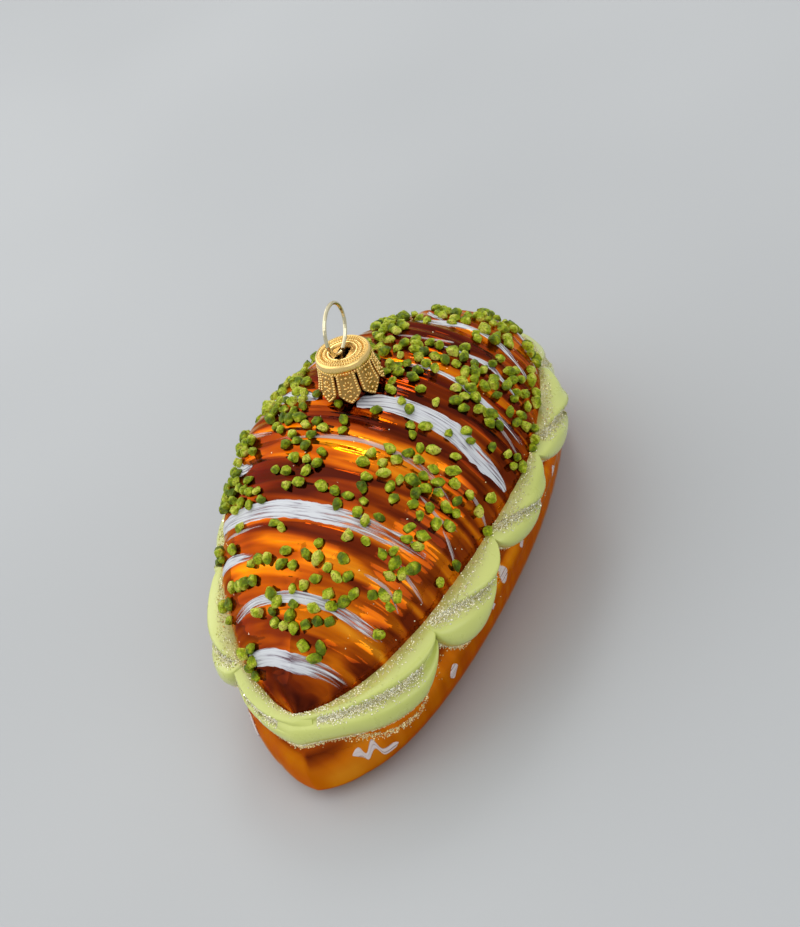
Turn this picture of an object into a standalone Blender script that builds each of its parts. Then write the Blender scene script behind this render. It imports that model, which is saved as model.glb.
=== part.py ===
"""Hanging ornament of blown glass in the shape of a cream-filled croissant.

Three pieces: the glass body, a crimped metal cap over its neck, and a wire hanging ring.
The body is lofted over its length. +Y runs along it, +Z is up, and the origin is under its
middle, on the flat spot that it rests on. Lengths are in metres.
"""

import math

import bmesh
import bpy
from mathutils import Matrix, Vector

MM = 0.001
SHARP_ANGLE = math.radians(50.0)

# Loft of the body: stations along it, and rows of faces up each side
STATIONS = 80
CREAM_ROWS = 7
DOME_ROWS = 8

# Plan curves of the body: half widths to each side, half lengths to the near (-Y) and the far
# tip, and the exponents that shape the outline towards each tip
RIM = {"right": 31.2 * MM, "left": 31.2 * MM, "near": 54.2 * MM, "far": 54.0 * MM,
       "near_power": 1.6, "far_power": 1.6, "root": 1.95}
JOINT = {"right": 30.2 * MM, "left": 30.4 * MM, "near": 58.2 * MM, "far": 55.4 * MM,
         "near_power": 1.8, "far_power": 1.85, "root": 2.0}
HULL = {"right": 29.7 * MM, "left": 30.6 * MM, "near": 60.5 * MM, "far": 57.5 * MM,
        "near_power": 1.78, "far_power": 1.9, "root": 2.2}

# Heights in the middle, and how far the croissant's two ends droop below them
RIM_HEIGHT = 26.9 * MM
RIM_DROOP = 8.5 * MM
JOINT_HEIGHT = 19.6 * MM
JOINT_DROOP = 7.0 * MM
HULL_HEIGHT = 14.2 * MM
HULL_DROOP = 10.5 * MM
DOME_RISE = 19.7 * MM
DOME_POWER = 1.65

# Lower bun up to its widest line, in shares of that line's width, length and height. The first
# point is the edge of the flat base
HULL_STEPS = ((0.36, 0.80, 0.0), (0.70, 0.93, 0.20), (0.90, 0.985, 0.55), (1.0, 1.0, 1.0))
KEEL_RISE = 1.2 * MM
KEEL_START = 0.6

# Pleats across the upper bun
PLEAT_PITCH = 6.5 * MM
PLEAT_DEPTH = 0.45 * MM
PLEAT_BOW = 7.0 * MM

# Cream lobes along each side: where each starts, its size, and the share of its length that its
# blunt start takes. A lobe sags below the joint and climbs to a point at the rim, and a slanting
# crease parts it in two swirls
RIGHT_LOBES = ((-JOINT["near"], 1.0, 0.30), (-40.5 * MM, 1.0, 0.16), (-18.0 * MM, 1.0, 0.16),
               (5.0 * MM, 1.15, 0.16), (29.0 * MM, 0.3, 0.30))
LEFT_LOBES = ((-JOINT["near"], 0.45, 0.30), (-50.0 * MM, 1.15, 0.55), (-27.0 * MM, 1.0, 0.30),
              (-3.0 * MM, 1.0, 0.16), (21.0 * MM, 0.7, 0.16), (43.0 * MM, 0.3, 0.30))
LAST_LOBE_SHARE = 0.7
LOBE_SAG = 0.42
LOBE_LOW_SHARE = 0.78
LOBE_CLIMB = 1.3
LOBE_TOP = 0.93
SWELL = 2.0 * MM
SWIRL = 3.2 * MM
BLUNT_END = 0.3
POINT_POWER = 6
CREASE_START = 0.88
CREASE_FALL = 0.45

# Neck, cap and ring stand on one axis, a little aslant on the crest
NECK_PLACE = Vector((0.3 * MM, 2.4 * MM, 46.0 * MM))
NECK_LEAN_X = math.radians(5.5)
NECK_LEAN_Y = math.radians(3.5)
NECK_RADIUS = 3.8 * MM
NECK_FOOT_RADIUS = 4.6 * MM
NECK_TOP = 8.1 * MM
NECK_ROOT = -3.0 * MM
NECK_FOOT_TOP = 0.6 * MM
NECK_SHOULDER = 1.8 * MM
NECK_BORE_RADIUS = 2.6 * MM
NECK_BORE_DEPTH = 8.0 * MM
NECK_SIDES = 32

CAP_TOP = 8.9 * MM
CAP_WALL = 0.4 * MM
CAP_RADIUS = 5.4 * MM
CAP_COLLAR = 1.9 * MM
CAP_CORNER = 0.55 * MM
CAP_CHAMFER_SHARE = 0.3
CAP_TURN = math.radians(-68.0)
DISH_DEPTH = 0.35 * MM
DISH_SHARES = (0.50, 0.62)
SLOT_HALF_LENGTH = 2.1 * MM
SLOT_HALF_WIDTH = 1.1 * MM

# Petals round the cap's skirt: the flare and the point of each are powers of the way down and across
PETALS = 8
PETAL_LENGTH = 6.2 * MM
PETAL_TAPER = 2.2 * MM
PETAL_TAPER_POWER = 1.3
PETAL_FLARE = 0.95 * MM
PETAL_FLARE_POWER = 1.5
PETAL_SLIT = math.radians(4.4)
PETAL_COLUMNS = 4
PETAL_ROWS = 4

WIRE_RADIUS = 0.38 * MM
RING_RADIUS = 4.9 * MM
RING_STEPS = 36
RING_LIFT = 0.15 * MM
LEG_GAP = 0.62 * MM
LEG_SPREAD = 1.75 * MM
LEG_DEPTH = 6.2 * MM
LEG_TOP_DEPTH = 0.8 * MM
RING_TURN = math.radians(4.0)


def clear_scene():
    for old in list(bpy.data.objects):
        bpy.data.objects.remove(old, do_unlink=True)


def make_material(name, colour, roughness, metallic):
    material = bpy.data.materials.new(name)
    material.use_nodes = True
    shader = material.node_tree.nodes["Principled BSDF"]
    shader.inputs["Base Color"].default_value = (*colour, 1.0)
    shader.inputs["Roughness"].default_value = roughness
    shader.inputs["Metallic"].default_value = metallic
    return material


def add_object(name, mesh, material):
    mesh.materials.append(material)
    thing = bpy.data.objects.new(name, mesh)
    bpy.context.scene.collection.objects.link(thing)
    return thing


def outline(curve, along):
    """Share of the full half width at a place along the body, from -1 at one tip to 1 at the other."""
    power = curve["near_power"] if along < 0.0 else curve["far_power"]
    return max(0.0, 1.0 - abs(along) ** power) ** (1.0 / curve["root"])


def half_width(curve, side):
    return curve["right"] if side > 0 else curve["left"]


def half_length(curve, along):
    return curve["near"] if along < 0.0 else curve["far"]


def mixed(low, high, share):
    return low + (high - low) * share


def arched(height, droop, along):
    return height - droop * along ** 2


def round_angle(along):
    """Place along the body as a turn from 0 to pi, so that it also runs on round the tips."""
    return math.acos(max(-1.0, min(1.0, -along)))


def lobe_at(side, along):
    """Size and blunt share of the cream lobe at a place, and how far along it, from 0 to 1, that is."""
    lobes = RIGHT_LOBES if side > 0 else LEFT_LOBES
    ends = [round_angle(start / half_length(JOINT, start)) for start, size, blunt in lobes]
    ends.append(ends[-1] + (math.pi - ends[-1]) / LAST_LOBE_SHARE)
    here = round_angle(along)
    lobe = max(index for index, end in enumerate(ends[:-1]) if end <= here)
    size, blunt = lobes[lobe][1:]
    return size, blunt, (here - ends[lobe]) / (ends[lobe + 1] - ends[lobe])


def lobe_foot(size, share):
    """Lower edge of a lobe, as a share of the cream's height: it sags, then climbs to the rim."""
    climb = max(0.0, (share - LOBE_LOW_SHARE) / (1.0 - LOBE_LOW_SHARE))
    sag = LOBE_SAG * size * math.sin(math.pi * min(1.0, share))
    return LOBE_TOP * climb ** LOBE_CLIMB - sag


def lobe_bulge(size, blunt, share, height):
    """How far the cream stands out, across a lobe from its foot (0) to the rim (1)."""
    crease = CREASE_START - CREASE_FALL * share
    if height < crease:
        span = crease
        place = height / span
    else:
        span = 1.0 - crease
        place = (height - crease) / span
    swirl = SWIRL * math.sqrt(span * math.sin(math.pi * place))
    swell = SWELL * math.sqrt(math.sin(math.pi * height))
    start = min(1.0, BLUNT_END + (1.0 - BLUNT_END) * share / blunt)
    point = math.sqrt(max(0.0, 1.0 - share ** POINT_POWER))
    return size * (swell + swirl) * start * point


def hull_points(side, along):
    """Lower bun from the middle of its underside up to its widest line."""
    points = []
    low = arched(HULL_HEIGHT, HULL_DROOP, along)
    tip = max(0.0, abs(along) - KEEL_START) / (1.0 - KEEL_START)
    middle = (0.0, *HULL_STEPS[0][1:])
    for width, length, rise in (middle, *HULL_STEPS):
        x = side * width * half_width(HULL, side) * outline(HULL, along)
        keel = (1.0 - width) * KEEL_RISE * tip
        points.append(Vector((x, length * half_length(HULL, along) * along, rise * low + keel)))
    return points


def cream_points(side, along):
    """Joint with the lower bun, then up over the cream lobes, without the rim itself."""
    size, blunt, share = lobe_at(side, along)
    foot = lobe_foot(size, share)
    low = arched(JOINT_HEIGHT, JOINT_DROOP, along)
    high = arched(RIM_HEIGHT, RIM_DROOP, along)
    points = []
    for row in range(CREAM_ROWS):
        height = row / CREAM_ROWS
        level = foot + (1.0 - foot) * height
        stand = lobe_bulge(size, blunt, share, height)
        width = mixed(half_width(JOINT, side), half_width(RIM, side), level) + stand
        length = mixed(half_length(JOINT, along), half_length(RIM, along), level) + stand
        narrow = mixed(outline(JOINT, along), outline(RIM, along), level)
        points.append(Vector((side * width * narrow, length * along, mixed(low, high, level))))
    return points


def dome_points(side, along):
    """Upper bun from its rim to its crest, with pleats bowed across it."""
    low = arched(RIM_HEIGHT, RIM_DROOP, along)
    rise = DOME_RISE * max(0.0, 1.0 - abs(along) ** DOME_POWER) ** 0.5
    edge = half_width(RIM, side) * outline(RIM, along)
    y = half_length(RIM, along) * along
    points = []
    for row in range(DOME_ROWS + 1):
        turn = 0.5 * math.pi * row / DOME_ROWS
        phase = (y + PLEAT_BOW * math.sin(turn) ** 2) / PLEAT_PITCH
        fade = math.sin(turn) * outline(RIM, along)
        pleat = PLEAT_DEPTH * fade * (math.cos(2.0 * math.pi * phase) - 1.0)
        x = side * (edge + pleat) * math.cos(turn)
        points.append(Vector((x, y, low + (rise + pleat) * math.sin(turn))))
    points[-1].x = 0.0
    return points


def half_section(side, along):
    return hull_points(side, along) + cream_points(side, along) + dome_points(side, along)


def loft_body():
    """Skin of the body: sections joined along it, closed by a keel line at each tip."""
    mesh = bmesh.new()
    sections = []
    for station in range(STATIONS + 1):
        along = -math.cos(math.pi * station / STATIONS)
        right = [mesh.verts.new(point) for point in half_section(1, along)]
        if station in (0, STATIONS):
            left = right
        else:
            left = [mesh.verts.new(point) for point in half_section(-1, along)[1:-1]]
            left = [right[0]] + left + [right[-1]]
        sections.append((right, left))
    for near, far in zip(sections, sections[1:]):
        for row in range(len(near[0]) - 1):
            add_face(mesh, near[0][row], far[0][row], far[0][row + 1], near[0][row + 1])
            add_face(mesh, near[1][row + 1], far[1][row + 1], far[1][row], near[1][row])
    bmesh.ops.triangulate(mesh, faces=mesh.faces[:])
    bmesh.ops.recalc_face_normals(mesh, faces=mesh.faces[:])
    return finish_mesh(mesh, "glass_body")


def add_face(mesh, *corners):
    """Face through the corners, leaving out a corner that comes twice, as at the tips."""
    kept = [corner for index, corner in enumerate(corners) if corner not in corners[:index]]
    if len(kept) > 2:
        mesh.faces.new(kept)


def finish_mesh(mesh, name):
    data = bpy.data.meshes.new(name)
    mesh.to_mesh(data)
    mesh.free()
    data.shade_smooth()
    data.set_sharp_from_angle(angle=SHARP_ANGLE)
    return data


def neck_frame():
    """Place of the neck's foot, with +Z up along the leaning neck."""
    lean = Matrix.Rotation(NECK_LEAN_X, 4, "Y") @ Matrix.Rotation(-NECK_LEAN_Y, 4, "X")
    return Matrix.Translation(NECK_PLACE) @ lean


def turned_cutter(name, profile):
    """Closed round solid about the neck's axis, from radius and height pairs, bottom to top."""
    mesh = bmesh.new()
    rings = []
    for radius, height in profile:
        ring = []
        for side in range(NECK_SIDES):
            turn = 2.0 * math.pi * side / NECK_SIDES
            ring.append(mesh.verts.new((radius * math.cos(turn), radius * math.sin(turn), height)))
        rings.append(ring)
    for low, high in zip(rings, rings[1:]):
        for side in range(NECK_SIDES):
            after = (side + 1) % NECK_SIDES
            mesh.faces.new((low[side], low[after], high[after], high[side]))
    mesh.faces.new(list(reversed(rings[0])))
    mesh.faces.new(rings[-1])
    data = finish_mesh(mesh, name)
    cutter = bpy.data.objects.new(name, data)
    bpy.context.scene.collection.objects.link(cutter)
    cutter.matrix_world = neck_frame()
    cutter.hide_render = True
    cutter.display_type = "WIRE"
    return cutter


def add_boolean(thing, cutter, operation):
    step = thing.modifiers.new(cutter.name, "BOOLEAN")
    step.operation = operation
    step.solver = "EXACT"
    step.object = cutter


def make_body():
    amber = make_material("amber_lacquered_glass", (0.62, 0.20, 0.03), 0.12, 0.0)
    body = add_object("glass_body", loft_body(), amber)
    neck = turned_cutter("neck_tube", (
        (NECK_FOOT_RADIUS, NECK_ROOT),
        (NECK_FOOT_RADIUS, NECK_FOOT_TOP),
        (NECK_RADIUS, NECK_SHOULDER),
        (NECK_RADIUS, NECK_TOP),
    ))
    bore = turned_cutter("neck_bore", (
        (NECK_BORE_RADIUS, NECK_TOP - NECK_BORE_DEPTH),
        (NECK_BORE_RADIUS, NECK_TOP + NECK_RADIUS),
    ))
    add_boolean(body, neck, "UNION")
    add_boolean(body, bore, "DIFFERENCE")
    return body


def cap_angles():
    """Turn of each column of the cap: the petals' columns, with a narrow slit between petals."""
    pitch = 2.0 * math.pi / PETALS
    span = pitch - PETAL_SLIT
    turns = []
    for petal in range(PETALS):
        for column in range(PETAL_COLUMNS + 1):
            share = column / PETAL_COLUMNS
            turns.append((CAP_TURN + petal * pitch + (share - 0.5) * span, 2.0 * share - 1.0))
    return turns


def slot_edge(turn):
    """Edge of the long slot in the top of the cap, seen from its centre."""
    away = turn - 0.5 * math.pi
    along = math.cos(away) / SLOT_HALF_LENGTH
    across = math.sin(away) / SLOT_HALF_WIDTH
    return (along ** 4 + across ** 4) ** -0.25


def cap_ring(mesh, radius_at, height_at):
    ring = []
    for turn, place in cap_angles():
        radius = radius_at(turn)
        point = (radius * math.cos(turn), radius * math.sin(turn), height_at(place))
        ring.append(mesh.verts.new(point))
    return ring


def join_rings(mesh, inner, outer, skip_slits=False):
    count = len(inner)
    for column in range(count):
        if skip_slits and column % (PETAL_COLUMNS + 1) == PETAL_COLUMNS:
            continue
        after = (column + 1) % count
        mesh.faces.new((inner[column], outer[column], outer[after], inner[after]))


def crown_rings(mesh):
    """Rings of the cap's top, from the slot's edge out over the dish and down to the collar's foot."""
    edge = CAP_RADIUS - CAP_CORNER
    chamfer = CAP_CHAMFER_SHARE * CAP_CORNER
    profile = [
        (DISH_SHARES[0] * edge, CAP_TOP - DISH_DEPTH),
        (DISH_SHARES[1] * edge, CAP_TOP),
        (edge, CAP_TOP),
        (CAP_RADIUS - chamfer, CAP_TOP - chamfer),
        (CAP_RADIUS, CAP_TOP - CAP_CORNER),
        (CAP_RADIUS, CAP_TOP - CAP_COLLAR),
    ]
    rings = [cap_ring(mesh, slot_edge, lambda place: CAP_TOP - DISH_DEPTH)]
    for radius, height in profile:
        rings.append(cap_ring(mesh, lambda turn: radius, lambda place: height))
    return rings


def petal_ring(mesh, share):
    """Ring through all the petals, at a share of their length below the collar."""
    radius = CAP_RADIUS + PETAL_FLARE * share ** PETAL_FLARE_POWER

    def height_at(place):
        reach = PETAL_LENGTH - PETAL_TAPER * abs(place) ** PETAL_TAPER_POWER
        return CAP_TOP - CAP_COLLAR - share * reach

    return cap_ring(mesh, lambda turn: radius, height_at)


def make_cap():
    """Cap with a slotted, dished top, a smooth collar and pointed petals that flare downwards."""
    mesh = bmesh.new()
    rings = crown_rings(mesh)
    for inner, outer in zip(rings, rings[1:]):
        join_rings(mesh, inner, outer)
    upper = rings[-1]
    for row in range(PETAL_ROWS):
        lower = petal_ring(mesh, (row + 1) / PETAL_ROWS)
        join_rings(mesh, upper, lower, skip_slits=True)
        upper = lower
    bmesh.ops.recalc_face_normals(mesh, faces=mesh.faces[:])
    gold = make_material("stamped_gold_metal", (0.80, 0.52, 0.16), 0.28, 1.0)
    cap = add_object("hanger_cap", finish_mesh(mesh, "hanger_cap"), gold)
    cap.matrix_world = neck_frame()
    wall = cap.modifiers.new("wall", "SOLIDIFY")
    wall.thickness = CAP_WALL
    wall.offset = -1.0
    return cap


def ring_route():
    """Wire from the foot of one leg, up through the slot, round the loop and down the other leg."""
    centre = CAP_TOP + RING_LIFT + RING_RADIUS
    opening = math.asin(LEG_GAP / RING_RADIUS)
    leg = [
        (LEG_GAP, CAP_TOP - LEG_TOP_DEPTH),
        (LEG_GAP + 0.5 * LEG_SPREAD, CAP_TOP - 0.5 * LEG_DEPTH),
        (LEG_SPREAD, CAP_TOP - LEG_DEPTH),
    ]
    loop = []
    for step in range(RING_STEPS + 1):
        turn = mixed(opening, 2.0 * math.pi - opening, step / RING_STEPS)
        loop.append((-RING_RADIUS * math.sin(turn), centre - RING_RADIUS * math.cos(turn)))
    first_leg = [(-along, height) for along, height in reversed(leg)]
    return [Vector((0.0, along, height)) for along, height in first_leg + loop + leg]


def make_ring():
    data = bpy.data.curves.new("hanger_ring", "CURVE")
    data.dimensions = "3D"
    data.bevel_depth = WIRE_RADIUS
    data.bevel_resolution = 2
    data.use_fill_caps = True
    points = ring_route()
    wire = data.splines.new("POLY")
    wire.points.add(len(points) - 1)
    for point, place in zip(wire.points, points):
        point.co = (*place, 1.0)
    pale = make_material("pale_gold_wire", (0.78, 0.68, 0.42), 0.25, 1.0)
    data.materials.append(pale)
    ring = bpy.data.objects.new("hanger_ring", data)
    bpy.context.scene.collection.objects.link(ring)
    ring.matrix_world = neck_frame() @ Matrix.Rotation(RING_TURN, 4, "Z")
    return ring


def centre_on_origin(body):
    """Move everything so that the middle of the body's plan is over the origin."""
    xs = [vertex.co.x for vertex in body.data.vertices]
    ys = [vertex.co.y for vertex in body.data.vertices]
    middle = Vector((0.5 * (min(xs) + max(xs)), 0.5 * (min(ys) + max(ys)), 0.0))
    for thing in bpy.context.scene.objects:
        thing.matrix_world = Matrix.Translation(-middle) @ thing.matrix_world
    print("plan's middle moved by", -middle)


def main():
    clear_scene()
    body = make_body()
    make_cap()
    make_ring()
    centre_on_origin(body)


main()
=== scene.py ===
import math
import random

import bpy
from mathutils import Matrix, Quaternion, Vector, noise


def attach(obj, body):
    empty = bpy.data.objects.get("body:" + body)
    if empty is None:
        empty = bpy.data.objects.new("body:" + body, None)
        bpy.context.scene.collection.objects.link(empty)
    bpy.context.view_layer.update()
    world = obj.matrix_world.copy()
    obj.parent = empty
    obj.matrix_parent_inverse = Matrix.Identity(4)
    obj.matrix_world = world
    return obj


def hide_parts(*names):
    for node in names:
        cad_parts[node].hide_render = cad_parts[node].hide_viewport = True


# Hanging ornament of blown glass, a croissant filled with pistachio cream. The glass is silvered inside
# and lacquered amber and pistachio, with white brush strokes, nut crumbs, glitter, a gold cap and a
# wire ring. Sizes are in millimetres, and become metres when a vertex is put in its place.
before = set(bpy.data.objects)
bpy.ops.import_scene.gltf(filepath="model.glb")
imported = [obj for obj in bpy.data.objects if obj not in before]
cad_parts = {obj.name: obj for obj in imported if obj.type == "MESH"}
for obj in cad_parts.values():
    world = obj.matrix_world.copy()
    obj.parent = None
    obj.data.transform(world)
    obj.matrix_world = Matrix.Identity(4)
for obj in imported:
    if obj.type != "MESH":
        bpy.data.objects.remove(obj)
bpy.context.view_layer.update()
mm = 0.001
fullTurn = 6.283
print("frame loaded:", sorted(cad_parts))


def deselectAll():
    if bpy.context.mode != "OBJECT":
        bpy.ops.object.mode_set(mode="OBJECT")
    bpy.ops.object.select_all(action="DESELECT")


def pick(piece):
    deselectAll()
    piece.select_set(True)
    bpy.context.view_layer.objects.active = piece


def mixed(low, high, share):
    return low + (high - low) * share


def smooth(low, high, value):
    share = max(0.0, min(1.0, (value - low) / (high - low)))
    return share * share * (3.0 - 2.0 * share)


def hill(value, middle, width):
    return math.exp(-((value - middle) / width) ** 2)


# A smooth random value for three numbers, between about -1 and 1
def uneven(a, b, c):
    return noise.noise(Vector((a, b, c)))


# Plan curves of the croissant, with their heights in the middle and how far they droop at the tips
form = {
    "rim": {"right": 31.2, "left": 31.2, "near": 53.5, "far": 53.4, "nearPower": 1.6, "farPower": 1.6,
            "root": 1.95, "height": 26.9, "droop": 8.5, "keel": 1.4},
    "joint": {"right": 30.2, "left": 30.4, "near": 56.4, "far": 52.6, "nearPower": 1.8,
              "farPower": 1.85, "root": 2.0, "height": 19.6, "droop": 7.0, "keel": 2.4},
    "hull": {"right": 29.9, "left": 31.0, "near": 58.7, "far": 55.3, "nearPower": 1.78,
             "farPower": 1.9, "root": 2.2, "height": 14.2, "droop": 10.5, "keel": 1.9},
    "keelWidth": 9.0,
    "domeRise": 19.7,
    "domePower": 1.65,
    "middle": Vector((0.2, 1.6, 0.0)),
}


def outline(curve, along):
    power = curve["nearPower"] if along < 0.0 else curve["farPower"]
    return max(0.0, 1.0 - abs(along) ** power) ** (1.0 / curve["root"])


def curvePoint(curve, side, along):
    width = curve["right"] if side > 0 else curve["left"]
    length = curve["near"] if along < 0.0 else curve["far"]
    x = side * width * outline(curve, along)
    keel = curve["keel"] * max(0.0, 1.0 - abs(x) / form["keelWidth"]) * smooth(0.7, 1.0, abs(along))
    y = length * along + math.copysign(keel, along)
    return Vector((x, y, curve["height"] - curve["droop"] * along ** 2))


def inPlace(point):
    return (point + form["middle"]) * mm


# Upper bun: a vault over the rim, rolled, folded and creased along pleats that run aslant over it
upperBun = {
    "pleatSlant": 7.0,
    "pleatFan": 0.12,
    "gable": 0.20,          # how pointed the cross-section gets towards the tips
    "crestKeel": 0.6,
    "crestKeelWidth": 7.0,
    "seam": 0.30,           # the uneven ridge along the crest of the near half
    "seamWidth": 0.8,
    "seamWander": 0.6,
    "seamStart": -14.0,
    "seamFull": -30.0,
    "rollEdges": (-49.5, -40.5, -26.0, -11.5, -1.0, 12.0, 22.0, 33.0, 45.0),
    "rollDepth": 0.42,
    "foldDepth": 0.42,
    "creaseDepth": 0.26,
    "wobble": 0.35,
}


# The same value at all points of one pleat
def pleatAt(angle, y):
    across = math.sin(math.radians(angle))
    return (y + upperBun["pleatSlant"] * across) / (1.0 - upperBun["pleatFan"] * across)


def domeBase(angle, y):
    rim = form["rim"]
    along = y / (rim["near"] if y < 0.0 else rim["far"])
    along = max(-1.0, min(1.0, along))
    edge = curvePoint(rim, math.copysign(1.0, angle), along)
    rise = form["domeRise"] * max(0.0, 1.0 - abs(along) ** form["domePower"]) ** 0.5
    turn = math.radians(abs(angle))
    power = 1.0 + upperBun["gable"] * smooth(0.5, 1.0, abs(along))
    height = edge.z + rise * max(0.0, math.cos(turn)) ** power
    return Vector((edge.x * math.sin(turn) ** power, edge.y, height))


def domeNormal(angle, y):
    turn = math.radians(angle)
    rim = form["rim"]
    along = max(-0.98, min(0.98, y / rim["near"]))
    narrow = max(0.2, (1.0 - along * along) ** 0.5)
    return Vector((math.sin(turn) / rim["right"] * narrow, along / rim["near"] * narrow ** 0.2,
                   math.cos(turn) / form["domeRise"] * narrow)).normalized()


def rollSwell(pleat):
    edges = upperBun["rollEdges"]
    for low, high in zip(edges, edges[1:]):
        if low <= pleat < high:
            return math.sin(math.pi * (pleat - low) / (high - low)) ** 0.6
    return 0.5


def domeRelief(angle, y):
    pleat = pleatAt(angle, y)
    turn = math.radians(angle)
    fade = math.cos(turn) ** 0.35 if abs(angle) < 90.0 else 0.0
    roll = upperBun["rollDepth"] * (rollSwell(pleat) - 1.0)
    fold = uneven(pleat * 0.42, turn * 0.55, 3.0)
    crease = 1.0 - abs(uneven(pleat * 0.85, turn * 0.8, 8.0))
    crease = crease ** 4 * uneven(pleat * 0.16, turn * 1.6, 21.0)
    wobble = uneven(pleat * 0.09, turn * 2.2, 40.0)
    x = domeBase(angle, y).x
    near = smooth(0.75, 1.0, abs(y) / form["rim"]["near"])
    keel = upperBun["crestKeel"] * max(0.0, 1.0 - abs(x) / upperBun["crestKeelWidth"]) * near
    seam = max(0.15, 0.5 + 1.2 * uneven(y * 0.35, 0.0, 55.0))
    seam *= smooth(upperBun["seamStart"], upperBun["seamFull"], y)
    wander = upperBun["seamWander"] * uneven(y * 0.3, 0.0, 0.0)
    seam *= upperBun["seam"]
    seam *= hill(x + wander, 0.0, upperBun["seamWidth"])
    strength = fade * (1.0 - 0.6 * near)
    return (strength * (roll + upperBun["foldDepth"] * fold + upperBun["creaseDepth"] * crease
            + upperBun["wobble"] * wobble) + keel + seam * fade)


def domePoint(angle, y, lift=0.0):
    return domeBase(angle, y) + domeNormal(angle, y) * (domeRelief(angle, y) + lift)


# Belt between the lower bun and the rim, where the cream shows. Turn is the way round it in degrees,
# from 0 at the near tip to 180 at the far one, to the right or (negative) to the left
def roundAlong(turn):
    return -math.cos(math.radians(turn))


def beltSide(turn):
    return 1.0 if 0.0 <= turn <= 180.0 or turn < -180.0 else -1.0


def beltPoint(turn, level):
    side = beltSide(turn)
    along = roundAlong(turn)
    return curvePoint(form["joint"], side, along).lerp(curvePoint(form["rim"], side, along), level)


def beltNormal(turn, level):
    step = 0.8
    across = beltPoint(turn + step, level) - beltPoint(turn - step, level)
    up = beltPoint(turn, level + 0.1) - beltPoint(turn, level - 0.1)
    return across.cross(up).normalized()


# Lower bun: from its widest line up to the joint (level 0 to 1), and under it to its flat base
lowerBun = {
    "halfWidth": 30.0,
    "halfLength": 57.0,
    "flankSwell": 0.7,
    "underWidthPower": 2.8,
    "underHeightPower": 1.85,
    "baseShare": 0.36,
    "baseLength": 0.80,
    "flatCut": 0.03,        # share of the height that the flat base takes off
    "keelRise": 1.2,        # how far the underside rises to a keel at the tips, and where that begins
    "keelStart": 0.6,
}


def flankPoint(turn, level, lift=0.0):
    side = 1.0 if turn >= 0.0 else -1.0
    along = roundAlong(turn)
    low = curvePoint(form["hull"], side, along)
    high = curvePoint(form["joint"], side, along)
    point = low.lerp(high, level)
    out = Vector((point.x / lowerBun["halfWidth"] ** 2, point.y / lowerBun["halfLength"] ** 2, 0.0))
    swell = lowerBun["flankSwell"] * math.sin(math.pi * max(0.0, min(1.0, level)))
    return point + out.normalized() * (swell + lift)


def underPoint(side, along, width):
    widest = curvePoint(form["hull"], side, along)
    height = 1.0 - (1.0 - width ** lowerBun["underWidthPower"]) ** (1.0 / lowerBun["underHeightPower"])
    height = max(0.0, height - lowerBun["flatCut"]) / (1.0 - lowerBun["flatCut"])
    reach = max(0.0, width - lowerBun["baseShare"]) / (1.0 - lowerBun["baseShare"])
    length = mixed(lowerBun["baseLength"], 1.0, reach ** 0.75)
    tipShare = max(0.0, abs(along) - lowerBun["keelStart"]) / (1.0 - lowerBun["keelStart"])
    keel = (1.0 - width) * lowerBun["keelRise"] * tipShare
    return Vector((widest.x * width, widest.y * length, widest.z * height + keel))


# A grid primitive whose vertices are put in their places by a function of the two ways along it
def gridPiece(name, columns, rows, place):
    deselectAll()
    bpy.ops.mesh.primitive_grid_add(x_subdivisions=columns, y_subdivisions=rows, size=2.0)
    piece = bpy.context.active_object
    piece.name = name
    piece.data.name = name
    for vertex in piece.data.vertices:
        vertex.co = place(0.5 * (vertex.co.x + 1.0), 0.5 * (vertex.co.y + 1.0))
    return piece


def closeUp(piece, fillEdges=False, angle=40.0):
    pick(piece)
    bpy.ops.object.mode_set(mode="EDIT")
    bpy.ops.mesh.select_all(action="SELECT")
    bpy.ops.mesh.remove_doubles(threshold=0.00001)
    if fillEdges:
        bpy.ops.mesh.select_mode(type="EDGE")
        bpy.ops.mesh.select_all(action="DESELECT")
        bpy.ops.mesh.select_non_manifold()
        bpy.ops.mesh.edge_face_add()
        bpy.ops.mesh.select_mode(type="VERT")
    bpy.ops.mesh.select_all(action="SELECT")
    bpy.ops.mesh.normals_make_consistent(inside=False)
    bpy.ops.object.mode_set(mode="OBJECT")
    bpy.ops.object.shade_smooth_by_angle(angle=math.radians(angle))
    return piece


def thicken(piece, thickness, offset):
    pick(piece)
    wall = piece.modifiers.new("wall", "SOLIDIFY")
    wall.thickness = thickness * mm
    wall.offset = offset
    bpy.ops.object.modifier_apply(modifier=wall.name)


def finishPiece(piece, material):
    piece.data.materials.clear()
    piece.data.materials.append(material)
    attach(piece, "root")
    return piece


def valueLayer(piece, name, values):
    layer = piece.data.attributes.new(name, "FLOAT", "POINT")
    layer.data.foreach_set("value", values)


def vectorLayer(piece, name, vectors):
    layer = piece.data.attributes.new(name, "FLOAT_VECTOR", "POINT")
    layer.data.foreach_set("vector", [number for vector in vectors for number in vector])


# How dark the amber lacquer is painted: 0 where it is bright amber, 1 where it is dark maroon. This is
# partly the lacquer's own depth and partly painted reflection of the bright and dark room in the silvered
# glass
lacquerAndReflectionZones = (
    # middle and width along the pleats, strength, middle and width of the angle across
    (-52.0, 4.2, 0.50, 10.0, 70.0),
    (-44.5, 1.8, 0.22, 0.0, 80.0),
    (-37.0, 2.0, 0.30, 40.0, 40.0),
    (-29.5, 1.6, 0.38, -5.0, 45.0),
    (-20.5, 4.4, 0.80, 5.0, 50.0),
    (-5.0, 2.5, 0.55, 20.0, 60.0),
    (6.5, 5.6, 0.85, 25.0, 50.0),
    (17.0, 1.6, 0.30, 10.0, 60.0),
    (26.0, 5.4, 0.90, 10.0, 55.0),
    (40.0, 3.0, 0.30, 0.0, 50.0),
)


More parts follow.
